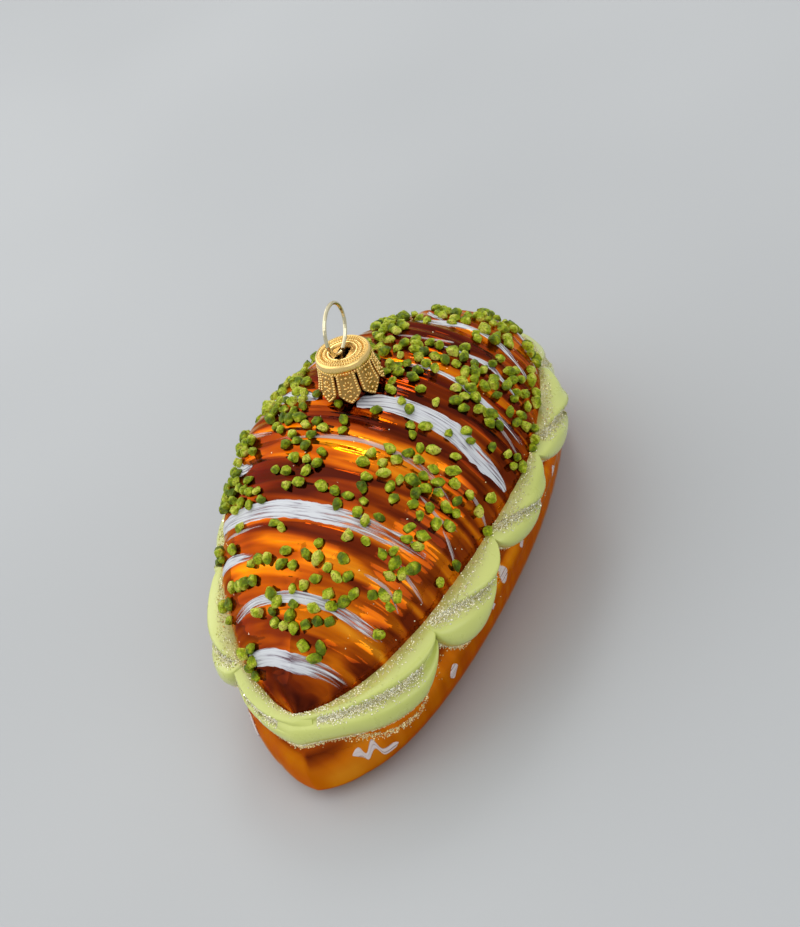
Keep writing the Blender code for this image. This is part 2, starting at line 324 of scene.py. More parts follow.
def domeToneWithPaintedLight(angle, y):
    pleat = pleatAt(angle, y)
    # painted shade: the right flank, away from the light, is a little darker
    tone = 0.33 + 0.04 * smooth(45.0, 85.0, angle)
    for middle, width, strength, angleMiddle, angleWidth in lacquerAndReflectionZones:
        tone += strength * hill(pleat, middle, width) * hill(angle, angleMiddle, angleWidth)
    tone += 0.20 * uneven(pleat * 0.3, angle * 0.02, 70.0)
    return max(0.0, min(1.0, tone))


# Tone of the lower bun: an uneven tone of its own, with painted reflection near the near tip and painted
# shade just under the cream
def flankToneWithPaintedLight(turn, level):
    tone = 0.17 + 0.12 * uneven(turn * 0.05, level * 0.5, 11.0)
    # painted reflection at the near tip: a dark patch high on the right facet, lighter lower down, and a
    # lighter left facet
    tone += 0.38 * smooth(0.0, 1.5, turn) * smooth(20.0, 8.0, turn) * smooth(0.45, 0.85, level)
    tone -= 0.14 * smooth(2.0, 7.0, turn) * smooth(26.0, 12.0, turn) * smooth(0.5, 0.2, level)
    tone -= 0.10 * smooth(0.5, -1.5, turn) * smooth(-14.0, -7.0, turn)
    # painted shade just below the joint, under the overhanging cream
    tone += 0.30 * smooth(0.80, 1.0, level)
    return max(0.0, min(1.0, tone))


# The whole skin in one ring of rows, from the middle of the base up the right side, over the crest
# and down the left side
shell = {"stations": 460, "quickStations": 200, "middleDensity": 0.3, "wallHollow": 0.9}


def shellRows():
    under = [("under", 0.0)]
    under += [("under", math.sin(math.radians(90.0 * step / 16)) ** 0.8) for step in range(1, 16)]
    flank = [("flank", step / 8) for step in range(8)]
    wall = [("wall", step / 6) for step in range(6)]
    dome = [("dome", 90.0 - 1.5 * step) for step in range(57)]
    crest = [("dome", angle) for angle in (4.2, 3.1, 2.3, 1.6, 1.1, 0.7, 0.35)]
    half = under + flank + wall + dome + crest
    ring = [(1.0, zone, value) for zone, value in half]
    ring.append((1.0, "dome", 0.0))
    ring += [(-1.0, zone, value) for zone, value in reversed(half)]
    return ring


def shellStation(share):
    turn = math.pi * share + 0.5 * shell["middleDensity"] * math.sin(2.0 * math.pi * share)
    return math.degrees(turn)


def buildShell(material):
    ring = shellRows()
    rows = len(ring) - 1
    stations = shell["stations"]
    tones = []
    flows = []

    def place(u, v):
        side, zone, value = ring[round(v * rows)]
        turn = max(0.0, min(180.0, shellStation(u)))
        along = roundAlong(turn)
        if zone == "under":
            point = underPoint(side, along, value)
            tones.append(flankToneWithPaintedLight(side * turn, 0.0))
            flows.append((point.y, 40.0 + 20.0 * value, 0.0))
        elif zone == "flank":
            point = flankPoint(side * turn if turn > 0.0 else 0.0, value)
            point.x = side * abs(point.x)
            tones.append(flankToneWithPaintedLight(side * turn, value))
            flows.append((point.y, 60.0 + 8.0 * value, 0.0))
        elif zone == "wall":
            point = beltPoint(turn, value)
            point.x = side * abs(beltPoint(side * turn, value).x)
            inward = Vector()
            if turn not in (0.0, 180.0):
                inward = Vector((point.x, point.y * 0.3, 0.0)).normalized()
            point = point - inward * shell["wallHollow"] * math.sin(math.pi * value)
            tones.append(0.55)
            flows.append((point.y, 70.0 + 8.0 * value, 0.0))
        else:
            rim = form["rim"]
            y = along * (rim["near"] if along < 0.0 else rim["far"])
            point = domePoint(side * value, y)
            tones.append(domeToneWithPaintedLight(side * value, y))
            flows.append((pleatAt(side * value, y), 0.5 * side * value, 10.0))
        if turn in (0.0, 180.0) or (zone == "under" and value == 0.0):
            point.x = 0.0
        return inPlace(point)

    piece = gridPiece("lacquered_glass_shell", stations, rows, place)
    valueLayer(piece, "tone", tones)
    vectorLayer(piece, "flow", flows)
    closeUp(piece, angle=60.0)
    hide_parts("glass_body")
    return finishPiece(piece, material)


# Cream lobes: leaf shapes with a blunt near end that hangs over the joint and a point at the rim
creamLobe = {
    "columns": 56,
    "rows": 34,
    "top": 1.06,
    "tuck": 0.9,
    "tipStand": 2.2,
    "standPower": 0.42,     # how fast a lobe rises along its length
    "endShare": 0.012,      # share of the length over which each end comes down
    "arch": 0.36,           # power of the lobe's cross-section: the smaller, the fuller
    "groove": 0.27,         # depth of the swirl's groove, as a share of the height
    "grooveWidth": 0.10,
    "ripple": 0.10,
    "fullSide": 33.2,       # beyond this the lobes flatten, so that they end within the side room
    "sideRoom": 1.7,
    "crease": (0.88, 0.32, 1.0),    # where the groove starts and ends across, and how it bends
    "glittered": (0.06, 0.94),      # the stretch of the groove that has glitter
    "glueWidth": 0.085,
    "glueEdge": 0.07,
}
# Turn from the near end to the point, the share of the length where the lobe hangs lowest, how low,
# and how far it stands out
rightLobes = (
    {"from": -7.0, "to": 47.0, "lowest": 0.82, "hang": -0.50, "stand": 5.9, "openStart": 0.58,
     "endPower": 0.42, "crease": (0.72, 0.56, 2.0), "glittered": (0.28, 0.88)},
    {"from": 46.0, "to": 70.5, "lowest": 0.46, "hang": -0.42, "stand": 5.8, "startPower": 0.5,
     "crease": (0.90, 0.15, 2.0), "glittered": (0.05, 0.85)},
    {"from": 70.0, "to": 93.5, "lowest": 0.46, "hang": -0.10, "stand": 4.5, "startPower": 0.5,
     "crease": (0.94, -0.40, 2.0), "glittered": (0.10, 0.75)},
    {"from": 92.5, "to": 126.0, "lowest": 0.44, "hang": -0.14, "stand": 4.7, "startPower": 0.6,
     "crease": (0.96, -0.50, 2.0), "glittered": (0.15, 0.75)},
    {"from": 125.0, "to": 154.0, "lowest": 0.45, "hang": -0.40, "stand": 2.6},
    {"from": 150.0, "to": 187.0, "lowest": 0.50, "hang": -0.10, "stand": 2.2, "openEnd": 0.6},
)
leftLobes = (
    {"from": 7.0, "to": -35.5, "lowest": 0.60, "hang": 0.08, "stand": 2.9, "openStart": 0.92,
     "endPower": 0.5, "crease": (0.62, 0.50, 1.0), "glittered": (0.30, 0.90)},
    {"from": -30.0, "to": -62.5, "lowest": 0.45, "hang": -0.55, "stand": 5.0},
    {"from": -61.5, "to": -87.5, "lowest": 0.42, "hang": -0.45, "stand": 4.5},
    {"from": -86.5, "to": -112.5, "lowest": 0.42, "hang": -0.45, "stand": 4.5},
    {"from": -111.5, "to": -141.0, "lowest": 0.45, "hang": -0.40, "stand": 3.7},
    {"from": -140.0, "to": -187.0, "lowest": 0.45, "hang": -0.20, "stand": 2.8, "openEnd": 0.6},
)


def lobeReach(lobe, share):
    lowest = lobe["lowest"]
    if share < lowest and "openStart" in lobe:
        return mixed(lobe["openStart"], 1.0, smooth(0.20, lowest, share))
    if share < lowest:
        return math.sin(0.5 * math.pi * share / lowest) ** lobe.get("startPower", 0.6)
    narrowing = math.cos(0.5 * math.pi * (share - lowest) / (1.0 - lowest))
    reach = max(0.0, narrowing) ** lobe.get("endPower", 1.0)
    return mixed(lobe.get("openEnd", 0.0), 1.0, reach)


def lobeCrease(lobe, share):
    start, end, power = lobe.get("crease", creamLobe["crease"])
    return mixed(start, end, share ** power)


def lobeProfile(crease, across, fade):
    arch = max(0.0, math.sin(math.pi * across)) ** creamLobe["arch"]
    ridge = 0.5 * hill(across, crease + 2.2 * creamLobe["grooveWidth"], creamLobe["grooveWidth"])
    groove = hill(across, crease, creamLobe["grooveWidth"]) - ridge
    return arch * (1.0 - creamLobe["groove"] * fade * groove)


def lobePoint(lobe, share, across, lift=0.0):
    turn = mixed(lobe["from"], lobe["to"], share)
    reach = lobeReach(lobe, share)
    foot = creamLobe["top"] - (creamLobe["top"] - lobe["hang"]) * reach
    level = mixed(foot, creamLobe["top"], across)
    height = lobe["stand"] * reach ** creamLobe["standPower"]
    if "openStart" in lobe and share < lobe["lowest"]:
        height = mixed(creamLobe["tipStand"], lobe["stand"], smooth(0.1, 0.75, share))
    if "openEnd" in lobe and share > lobe["lowest"]:
        height = mixed(creamLobe["tipStand"], lobe["stand"], smooth(0.1, 0.75, 1.0 - share))
    ends = min(1.0, share / creamLobe["endShare"], (1.0 - share) / creamLobe["endShare"])
    fade = smooth(0.0, 0.30, share) if "openStart" in lobe else smooth(0.0, 0.10, share)
    profile = lobeProfile(lobeCrease(lobe, share), across, fade)
    stand = -creamLobe["tuck"] + (creamLobe["tuck"] + height) * profile * ends
    ripple = creamLobe["ripple"] * uneven(turn * 0.12, across * 2.0, 5.0)
    point = beltPoint(turn, level) + beltNormal(turn, level) * (stand + ripple + lift)
    over = point.x - creamLobe["fullSide"]
    if over > 0.0:
        point.x = creamLobe["fullSide"] + creamLobe["sideRoom"] * math.tanh(over / creamLobe["sideRoom"])
    return point


def buildLobe(name, lobe, material):
    glue = []

    def place(u, v):
        share = 0.5 - 0.5 * math.cos(math.pi * u)
        across = 0.5 - 0.5 * math.cos(math.pi * v)
        start, end = lobe.get("glittered", creamLobe["glittered"])
        band = hill(across, lobeCrease(lobe, share), creamLobe["glueWidth"])
        band *= smooth(start - 0.04, start + 0.04, share) * smooth(end + 0.04, end - 0.04, share)
        band += hill(across, 0.0, creamLobe["glueEdge"])
        glue.append(min(1.0, band + 0.8 * hill(across, 1.0, creamLobe["glueEdge"])))
        return inPlace(lobePoint(lobe, share, across))

    piece = gridPiece(name, creamLobe["columns"], creamLobe["rows"], place)
    valueLayer(piece, "glue", glue)
    closeUp(piece, fillEdges=True, angle=75.0)
    return finishPiece(piece, material)


# Brush strokes: a path over a surface (angle, y and the stroke's width there), and how dry the brush
# is at each end
paintStroke = {"columns": 84, "rows": 8, "thickness": 0.15, "edgeSink": 0.06, "solid": 0.22}
whiteBands = (
    {"path": ((-62, -47.6, 2.2), (-30, -48.5, 2.8), (0, -49.5, 2.8), (35, -49.8, 2.2), (78, -50.2, 1.1)),
     "dry": (0.25, 0.66)},
    {"path": ((-60, -41.2, 1.4), (-30, -40.4, 2.0), (0, -40.6, 2.3), (25, -41.2, 2.0), (48, -42.4, 1.9),
              (69, -42.9, 1.0)), "dry": (0.5, 0.65)},
    {"path": ((-68, -31.4, 1.8), (-48, -31.8, 2.2), (-28, -32.9, 0.9)), "dry": (0.1, 0.5)},
    {"path": ((-74, -21.4, 2.8), (-45, -23.8, 3.6), (-15, -25.2, 3.9), (0, -26.0, 3.9), (18, -27.0, 3.7),
              (40, -28.2, 3.3), (62, -28.8, 1.9)), "dry": (0.05, 0.66)},
    {"path": ((5.5, -2.2, 3.4), (22, -2.3, 4.6), (45, -5.0, 4.9), (62, -7.7, 4.4), (84, -8.9, 1.7)),
     "dry": (0.0, 0.12)},
    {"path": ((-56, 6.0, 3.0), (-34, 3.6, 4.2), (-22, 1.8, 3.8), (-12.5, 0.0, 1.8)), "dry": (0.1, 0.15)},
    {"path": ((-80, -4.0, 3.0), (-62, -8.6, 4.4), (-47, -12.6, 3.4), (-38, -13.4, 1.2)), "dry": (0.1, 0.4)},
    {"path": ((8, 10.4, 0.8), (24, 9.9, 1.1), (38, 8.0, 1.4), (50, 5.6, 1.7), (64, 3.4, 2.1),
              (80, 1.8, 0.9)), "dry": (0.5, 0.5)},
    {"path": ((20, 19.2, 0.7), (36, 17.9, 1.1), (50, 16.6, 1.7), (58, 14.2, 1.5), (67, 11.6, 0.8)),
     "dry": (0.6, 0.4)},
    {"path": ((1, 31.8, 1.6), (14, 30.4, 2.9), (28, 29.9, 2.4), (40, 28.6, 2.0), (56, 25.2, 2.3),
              (73, 20.4, 1.2)), "dry": (0.5, 0.4)},
    {"path": ((0, 38.0, 1.4), (8, 34.8, 2.0), (17, 31.4, 0.9)), "dry": (0.4, 0.4)},
    {"path": ((44, 45.2, 1.4), (60, 42.8, 2.4), (75, 38.8, 2.4), (88, 34.2, 1.3)), "dry": (0.3, 0.3)},
    {"path": ((-84, 13.0, 2.6), (-60, 17.0, 2.8), (-38, 19.0, 1.4)), "dry": (0.1, 0.5)},
    {"path": ((-82, 29.0, 2.2), (-55, 35.0, 2.8), (-28, 38.4, 2.2), (-12, 38.6, 1.0)), "dry": (0.2, 0.5)},
)
washStrokes = (
    ((-26, -9.2, 0.7), (0, -10.6, 1.0), (16, -11.6, 1.0), (32, -13.3, 1.1), (46, -15.3, 1.2),
     (62, -19.3, 0.8)),
    ((64, -14.4, 0.6), (76, -15.8, 0.9), (88, -17.4, 0.5)),
    ((56, 2.6, 0.6), (66, 1.0, 1.1), (80, -1.2, 0.7)),
    ((50, -31.6, 0.4), (60, -33.4, 0.8), (77, -34.9, 0.5)),
    ((62, -23.2, 0.5), (72, -25.2, 0.8), (84, -27.0, 0.4)),
    ((44, -19.5, 0.5), (58, -22.0, 0.7), (70, -22.2, 0.4)),
    ((2, 22.4, 0.5), (16, 21.2, 0.9), (30, 20.6, 0.5)),
    ((36, -35.2, 0.4), (52, -36.2, 0.7), (66, -38.4, 0.4)),
    ((-60, -26.5, 0.5), (-40, -27.3, 0.8), (-22, -27.8, 0.4)),
    ((-70, 2.0, 1.0), (-50, -3.5, 1.6), (-30, -7.0, 0.9)),
    ((60, 36.0, 0.8), (72, 32.0, 1.2), (84, 27.0, 0.7)),
)
# On the lower bun the strokes are short dabs: turn, level and width
dabs = (
    ((15.0, 0.54, 0.7), (17.5, 0.50, 1.9), (19.0, 0.32, 1.3), (22.0, 0.52, 1.9), (24.0, 0.18, 1.5),
     (27.5, 0.12, 1.3), (29.0, 0.10, 0.5)),
    ((48.4, 0.18, 2.0), (49.8, 0.20, 3.2), (51.2, 0.22, 2.0)),
    ((69.8, 0.60, 3.4), (71.0, 0.60, 5.0), (72.4, 0.60, 3.4)),
    ((65.2, 0.18, 1.2), (65.8, 0.18, 2.4), (66.4, 0.18, 1.2)),
    ((78.4, 0.52, 1.0), (79.2, 0.52, 2.8), (80.0, 0.52, 1.0)),
    ((100.0, 0.24, 2.0), (101.2, 0.24, 3.6), (102.4, 0.24, 2.0)),
    ((-26.0, 0.24, 1.0), (-28.5, 0.38, 1.8), (-31.0, 0.54, 0.8)),
    ((-58.0, 0.50, 1.2), (-62.0, 0.55, 3.0), (-65.0, 0.60, 1.0)),
    ((-96.0, 0.40, 1.0), (-101.0, 0.48, 3.0), (-104.0, 0.50, 1.0)),
    ((-138.0, 0.50, 1.0), (-143.0, 0.55, 2.6), (-147.0, 0.50, 1.0)),
    ((150.0, 0.45, 1.0), (154.0, 0.50, 2.8), (158.0, 0.50, 1.0)),
)


def alongPath(points, share):
    place = max(0.0, min(len(points) - 1.0001, share * (len(points) - 1)))
    index = int(place)
    part = place - index
    before = points[max(0, index - 1)]
    low = points[index]
    high = points[index + 1]
    after = points[min(len(points) - 1, index + 2)]
    values = []
    for a, b, c, d in zip(before, low, high, after):    # a curve through all the points
        values.append(0.5 * (2.0 * b + (c - a) * part + (2.0 * a - 5.0 * b + 4.0 * c - d) * part ** 2
                             + (3.0 * b - a - 3.0 * c + d) * part ** 3))
    return values


flankHeight = 6.5    # from the lower bun's widest line up to the joint, roughly


def buildStroke(name, path, dry, surface, crossScale, material, seed):
    cover = []
    brush = []
    first = surface(*path[0][:2], 0.0)
    last = surface(*path[-1][:2], 0.0)
    length = (last - first).length * 1.1

    def place(u, v):
        a, b, width = alongPath(path, u)
        across = 2.0 * v - 1.0
        edge = 0.16 * uneven(u * length * 0.5, math.copysign(2.0, across), seed)
        ends = min(1.0, u * length / 0.9, (1.0 - u) * length / 1.1) ** 0.5
        half = 0.5 * width * (1.0 + edge) * ends
        bristle = 0.02 * uneven(across * 6.0, u * 2.0, seed)
        lift = (paintStroke["thickness"] + bristle) * (1.0 - across ** 4) - paintStroke["edgeSink"]
        dryness = max(dry[0] * smooth(0.35, 0.0, u), dry[1] * smooth(0.45, 1.0, u))
        cover.append(1.0 - dryness)
        brush.append((u * length, across * half, seed))
        return inPlace(surface(a, b + across * half * crossScale, lift))

    piece = gridPiece(name, paintStroke["columns"], paintStroke["rows"], place)
    valueLayer(piece, "cover", cover)
    vectorLayer(piece, "brush", brush)
    thicken(piece, paintStroke["solid"], -1.0)
    closeUp(piece, angle=80.0)
    return finishPiece(piece, material)


def joinPieces(pieces, name):
    deselectAll()
    for piece in pieces:
        piece.select_set(True)
    bpy.context.view_layer.objects.active = pieces[0]
    bpy.ops.object.join()
    pieces[0].name = name
    pieces[0].data.name = name
    return pieces[0]


# Many small things: shapes modelled once, and copied to their spots as one joined mesh
def readShape(piece):
    vertices = [vertex.co.copy() for vertex in piece.data.vertices]
    faces = [tuple(face.vertices) for face in piece.data.polygons]
    bpy.data.objects.remove(piece)
    return vertices, faces


def strewnMesh(name, shapes, spots, layerName, angle):
    vertices = []
    faces = []
    tints = []
    for matrix, shapeIndex, tint in spots:
        shapeVertices, shapeFaces = shapes[shapeIndex]
        start = len(vertices)
        vertices += [inPlace(matrix @ vertex) for vertex in shapeVertices]
        faces += [tuple(start + index for index in face) for face in shapeFaces]
        tints += [tint] * len(shapeVertices)
    data = bpy.data.meshes.new(name)
    data.from_pydata(vertices, [], faces)
    piece = bpy.data.objects.new(name, data)
    bpy.context.scene.collection.objects.link(piece)
    valueLayer(piece, layerName, tints)
    pick(piece)
    bpy.ops.object.shade_smooth_by_angle(angle=math.radians(angle))
    return piece


def standing(point, normal, spin, size, tip=0.0):
    turn = normal.to_track_quat("Z", "Y").to_matrix().to_4x4()
    lean = Matrix.Rotation(tip, 4, "X")
    return (Matrix.Translation(point) @ turn @ Matrix.Rotation(spin, 4, "Z") @ lean
            @ Matrix.Scale(size, 4))


# Nut crumbs: lumps cut by a few planes, glued on the upper bun
nutCrumb = {
    "shapes": 12,
    "stretch": ((1.15, 1.50), (0.84, 1.0), (0.78, 0.95)),
    "lumps": 0.26,
    "smallLumps": 0.20,
    "cuts": 5,
    "cutReach": (0.70, 0.92),
    "size": 1.01,
    "sizeSpread": 0.11,
    "smallest": 0.86,
    "largest": 1.35,
    "spacing": 2.12,
    "evenTries": 6,         # tries at a crumb's even place on its run, before any place on it will do
    "tries": 45,
    "sink": 0.30,
    "lean": 0.22,
    "tip": 0.3,
}
# Runs of crumbs over the upper bun: from angle and y to angle and y, how many, and how far they stray
crumbRuns = (
    (-74, -47.6, -50, -47.4, 5, 1.1), (11, -47.3, 29, -47.7, 3, 0.6),
    (-32, -42.3, -30, -42.1, 1, 0.0), (-19, -41.5, -12, -44.8, 5, 0.9), (-5, -43.6, 5, -43.0, 3, 0.7),
    (-4, -40.0, 7, -39.0, 2, 0.3), (10, -44.2, 32, -43.3, 3, 0.5), (18, -39.8, 38, -39.1, 4, 0.8),
    (61, -42.4, 63, -42.2, 1, 0.0),
    (-57, -36.0, -27, -37.8, 4, 0.9), (-31, -34.8, -8, -33.4, 5, 0.8), (-3, -36.3, 5, -34.0, 3, 0.5),
    (8, -31.9, 13, -32.1, 2, 0.1), (12, -38.2, 29, -36.4, 7, 1.1), (45, -38.0, 63, -37.1, 5, 0.6),
    (46, -30.4, 51, -34.0, 4, 0.8), (58, -31.5, 59, -31.6, 1, 0.0), (40, -31.4, 41, -31.6, 1, 0.0),
    (30, -30.2, 31, -30.3, 1, 0.0), (76, -30.4, 80, -30.7, 2, 0.3), (81, -26.4, 82, -26.6, 1, 0.0),
    (-47, -30.0, -46, -30.1, 1, 0.0), (-41, -26.4, -40, -26.5, 1, 0.0), (-10, -29.6, -15, -28.2, 2, 0.2),
    (14, -22.2, 32, -27.6, 9, 1.0), (44, -27.0, 58, -27.0, 4, 0.8), (4, -21.0, 4, -23.4, 2, 0.1),
    (-5, -20.4, -13, -21.5, 2, 0.2), (-25, -22.8, -26, -22.9, 1, 0.0), (-66, -13.0, -32, -21.6, 22, 2.0),
    (40, -22.4, 65, -22.6, 5, 0.8), (57, -20.2, 67, -18.8, 3, 0.6), (-20, -17.0, -21, -17.2, 1, 0.0),
    (-12, -15.4, -3, -17.6, 5, 1.2), (-17, -11.6, -7, -10.4, 5, 1.0), (-1, -14.4, 0, -14.5, 1, 0.0),
    (-12, -13.2, -11, -13.3, 1, 0.0), (18, -15.4, 20, -17.8, 3, 0.7), (25, -17.2, 34, -18.6, 5, 1.0),
    (38, -17.8, 44, -18.8, 4, 0.9), (40, -15.4, 51, -16.8, 4, 0.7), (32, -11.8, 41, -13.2, 5, 0.9),
    (25, -12.5, 26, -12.6, 1, 0.0), (36, -9.4, 42, -10.5, 2, 0.2), (50, -10.2, 54, -10.0, 2, 0.3),
    (52, -12.8, 57, -14.8, 3, 0.5), (65, -15.0, 66, -15.1, 1, 0.0), (76, -12.8, 77, -12.9, 1, 0.0),
    (74, -16.4, 75, -16.6, 1, 0.0), (86, -17.4, 87, -17.6, 1, 0.0), (4, -6.4, 4, -9.2, 2, 0.2),
    (14, -4.3, 15, -4.4, 1, 0.0), (-2, -3.0, 0, -3.1, 1, 0.0), (21, -1.2, 27, -3.3, 2, 0.1),
    (27, -6.6, 35, -6.1, 2, 0.2), (34, -0.2, 35, 0.2, 1, 0.0), (44, -5.6, 47, -6.2, 2, 0.3),
    (50, -4.4, 56, -6.4, 3, 0.5), (51, -1.8, 52, -1.9, 1, 0.0), (64, -4.0, 65, -4.2, 1, 0.0),
    (72, -3.0, 85, -2.0, 4, 0.8), (-38, 3.6, -8, -10.2, 26, 1.8), (-62, -2.0, -48, -10.0, 9, 1.8),
    (15, 3.8, 17, 1.2, 3, 0.5), (26, 2.6, 28, 2.4, 1, 0.0), (40, 2.2, 47, 0.6, 3, 0.5),
    (50, 3.2, 63, 1.0, 5, 0.9), (43, 4.8, 50, 9.2, 8, 1.2), (42, 8.6, 45, 13.0, 4, 0.8),
    (53, 12.8, 54, 13.0, 1, 0.0), (56, 8.4, 58, 8.3, 1, 0.0), (64, 7.0, 73, 5.8, 4, 0.8),
    (82, 7.8, 89, 5.6, 3, 0.7), (9, 6.8, 14, 9.4, 4, 0.9), (16, 6.8, 23, 11.4, 7, 1.2),
    (9, 15.4, 21, 14.0, 9, 1.6), (12, 18.6, 20, 19.0, 3, 0.6), (30, 13.0, 31, 12.8, 1, 0.0),
    (33, 11.8, 37, 16.4, 5, 0.9), (41, 16.2, 42, 16.1, 1, 0.0), (50, 17.4, 51, 17.0, 1, 0.0),
    (53, 20.4, 54, 20.0, 1, 0.0), (61, 14.6, 66, 18.4, 5, 1.0), (66, 13.6, 72, 12.8, 4, 0.9),
    (73, 21.6, 82, 17.2, 4, 0.9), (38, 23.8, 40, 31.0, 4, 0.8), (46, 29.2, 48, 28.4, 2, 0.5),
    (52, 26.8, 56, 30.2, 4, 0.9), (-22, 31.0, 3, 24.4, 10, 1.4), (-5, 22.6, 5, 11.8, 7, 1.1),
    (30, 33.0, 37, 42.0, 7, 1.4), (2, 41.0, 27, 32.8, 12, 1.8), (-30, 37.0, 0, 33.0, 10, 1.9),
    (57, 43.0, 61, 38.4, 3, 0.6), (68, 35.4, 78, 29.0, 5, 1.2), (40, 37.5, 52, 35.0, 3, 1.0),
    (-48, 12.0, -30, 8.0, 9, 1.8), (-72, 4.0, -58, 12.0, 8, 1.9), (-66, 22.0, -40, 27.0, 11, 2.1),
    (-80, 20.0, -74, 8.0, 4, 1.4), (-60, 40.0, -34, 44.0, 7, 1.6), (-78, -24.0, -64, -29.0, 4, 1.2),
    (-74, -36.0, -66, -40.0, 3, 1.0), (74, 44.0, 30, 48.0, 6, 1.4), (-84, 34.0, -74, 30.0, 3, 1.0),
)


def chipShape(seed):
    deselectAll()
    bpy.ops.mesh.primitive_ico_sphere_add(subdivisions=2, radius=1.0)
    chip = bpy.context.active_object
    dice = random.Random(seed)
    stretch = Vector([dice.uniform(*limits) for limits in nutCrumb["stretch"]])
    for vertex in chip.data.vertices:
        lump = 1.0 + nutCrumb["lumps"] * noise.noise(vertex.co * 1.25 + Vector((seed * 3.1, 0.0, 0.0)))
        lump += nutCrumb["smallLumps"] * noise.noise(vertex.co * 2.3 + Vector((0.0, seed * 2.3, 0.0)))
        vertex.co = Vector(a * b for a, b in zip(vertex.co, stretch)) * lump
    bpy.ops.object.mode_set(mode="EDIT")
    for cut in range(nutCrumb["cuts"]):
        turn = dice.uniform(0.0, fullTurn)
        slant = Vector((math.cos(turn), math.sin(turn), dice.uniform(-0.5, 1.6))).normalized()
        bpy.ops.mesh.select_all(action="SELECT")
        bpy.ops.mesh.bisect(plane_co=slant * dice.uniform(*nutCrumb["cutReach"]), plane_no=slant,
                            use_fill=True, clear_outer=True)
    bpy.ops.mesh.select_all(action="SELECT")
    bpy.ops.mesh.remove_doubles(threshold=0.1)
    bpy.ops.mesh.normals_make_consistent(inside=False)
    bpy.ops.object.mode_set(mode="OBJECT")
    return readShape(chip)


def crumbSpots():
    dice = random.Random(417)
    spots = []
    places = []
    for fromAngle, fromY, toAngle, toY, count, stray in crumbRuns:
        for index in range(count):
            for attempt in range(nutCrumb["tries"]):
                share = (index + 0.5) / count if attempt < nutCrumb["evenTries"] else dice.random()
                wander = stray * (1.0 + 0.05 * attempt)
                angle = mixed(fromAngle, toAngle, share) + dice.gauss(0.0, 0.6) * wander / 0.45
                y = mixed(fromY, toY, share) + dice.gauss(0.0, 0.6) * wander
                angle = max(-88.0, min(88.0, angle))
                y = max(-50.5, min(50.0, y))
                base = domePoint(angle, y)
                if all((base - other).length > nutCrumb["spacing"] for other in places):
                    break
            else:    # no room left on this run
                continue
            places.append(base)
            size = nutCrumb["size"] * (1.0 + dice.gauss(0.0, nutCrumb["sizeSpread"]))
            size = max(nutCrumb["smallest"], min(nutCrumb["largest"], size))
            lean = Vector([dice.gauss(0.0, nutCrumb["lean"]) for axis in range(3)])
            normal = (domeNormal(angle, y) + lean).normalized()
            stand = size * (1.0 - nutCrumb["sink"]) * 0.75
            matrix = standing(base + domeNormal(angle, y) * stand, normal, dice.uniform(0.0, fullTurn),
                              size, dice.gauss(0.0, nutCrumb["tip"]))
            spots.append((matrix, dice.randrange(nutCrumb["shapes"]), dice.random()))
    print("nut crumbs:", len(spots))
    return spots


# Glitter: small four-sided chips along the creases, feet and rim of the cream, on the amber glass
# below it, and in the notches where two lobes meet
glitter = {
    "perMillimetre": {"crease": 54, "foot": 26, "rim": 16, "hull": 32},
    "size": (0.11, 0.24),
    "thickness": 0.4,
    "sway": 0.45,
    "lift": 0.10,
    "creaseSpread": 0.058,
    "footSpread": 0.022,
    "rimSpread": 0.035,
    "hullSpread": 0.055,
    "notch": 190,           # chips in each notch, and how far they stray round and up
    "notchTurn": 1.0,
    "notchSpread": 0.22,
    "flankStretch": 1.35,   # a level on the belt is this much of one on the lower bun
    "domeSpecks": 130,
}


def glitterShape():
    deselectAll()
    bpy.ops.mesh.primitive_cone_add(vertices=4, radius1=1.0, radius2=0.0, depth=glitter["thickness"])
    return readShape(bpy.context.active_object)


def glitterSpot(dice, point, normal, gold):
    size = dice.uniform(*glitter["size"])
    facing = (normal + Vector([dice.gauss(0.0, glitter["sway"]) for axis in range(3)])).normalized()
    return standing(point, facing, dice.uniform(0.0, fullTurn), size), 0, gold


def lobeSpot(dice, lobe, share, across, goldRange):
    turn = mixed(lobe["from"], lobe["to"], share)
    point = lobePoint(lobe, share, across, glitter["lift"])
    return glitterSpot(dice, point, beltNormal(turn, 0.5), dice.uniform(*goldRange))


# A chip below the cream, on the lower bun or on the belt; the lifts are for the one and the other
def glassSpot(dice, turn, level, levels, lifts, goldRange):
    lowest, highest = levels
    if level < 0.0:
        point = flankPoint(turn, max(lowest, 1.0 + glitter["flankStretch"] * level), lifts[0])
    else:
        point = beltPoint(turn, min(highest, level)) + beltNormal(turn, 0.5) * lifts[1]
    return glitterSpot(dice, point, beltNormal(turn, 0.5), dice.uniform(*goldRange))


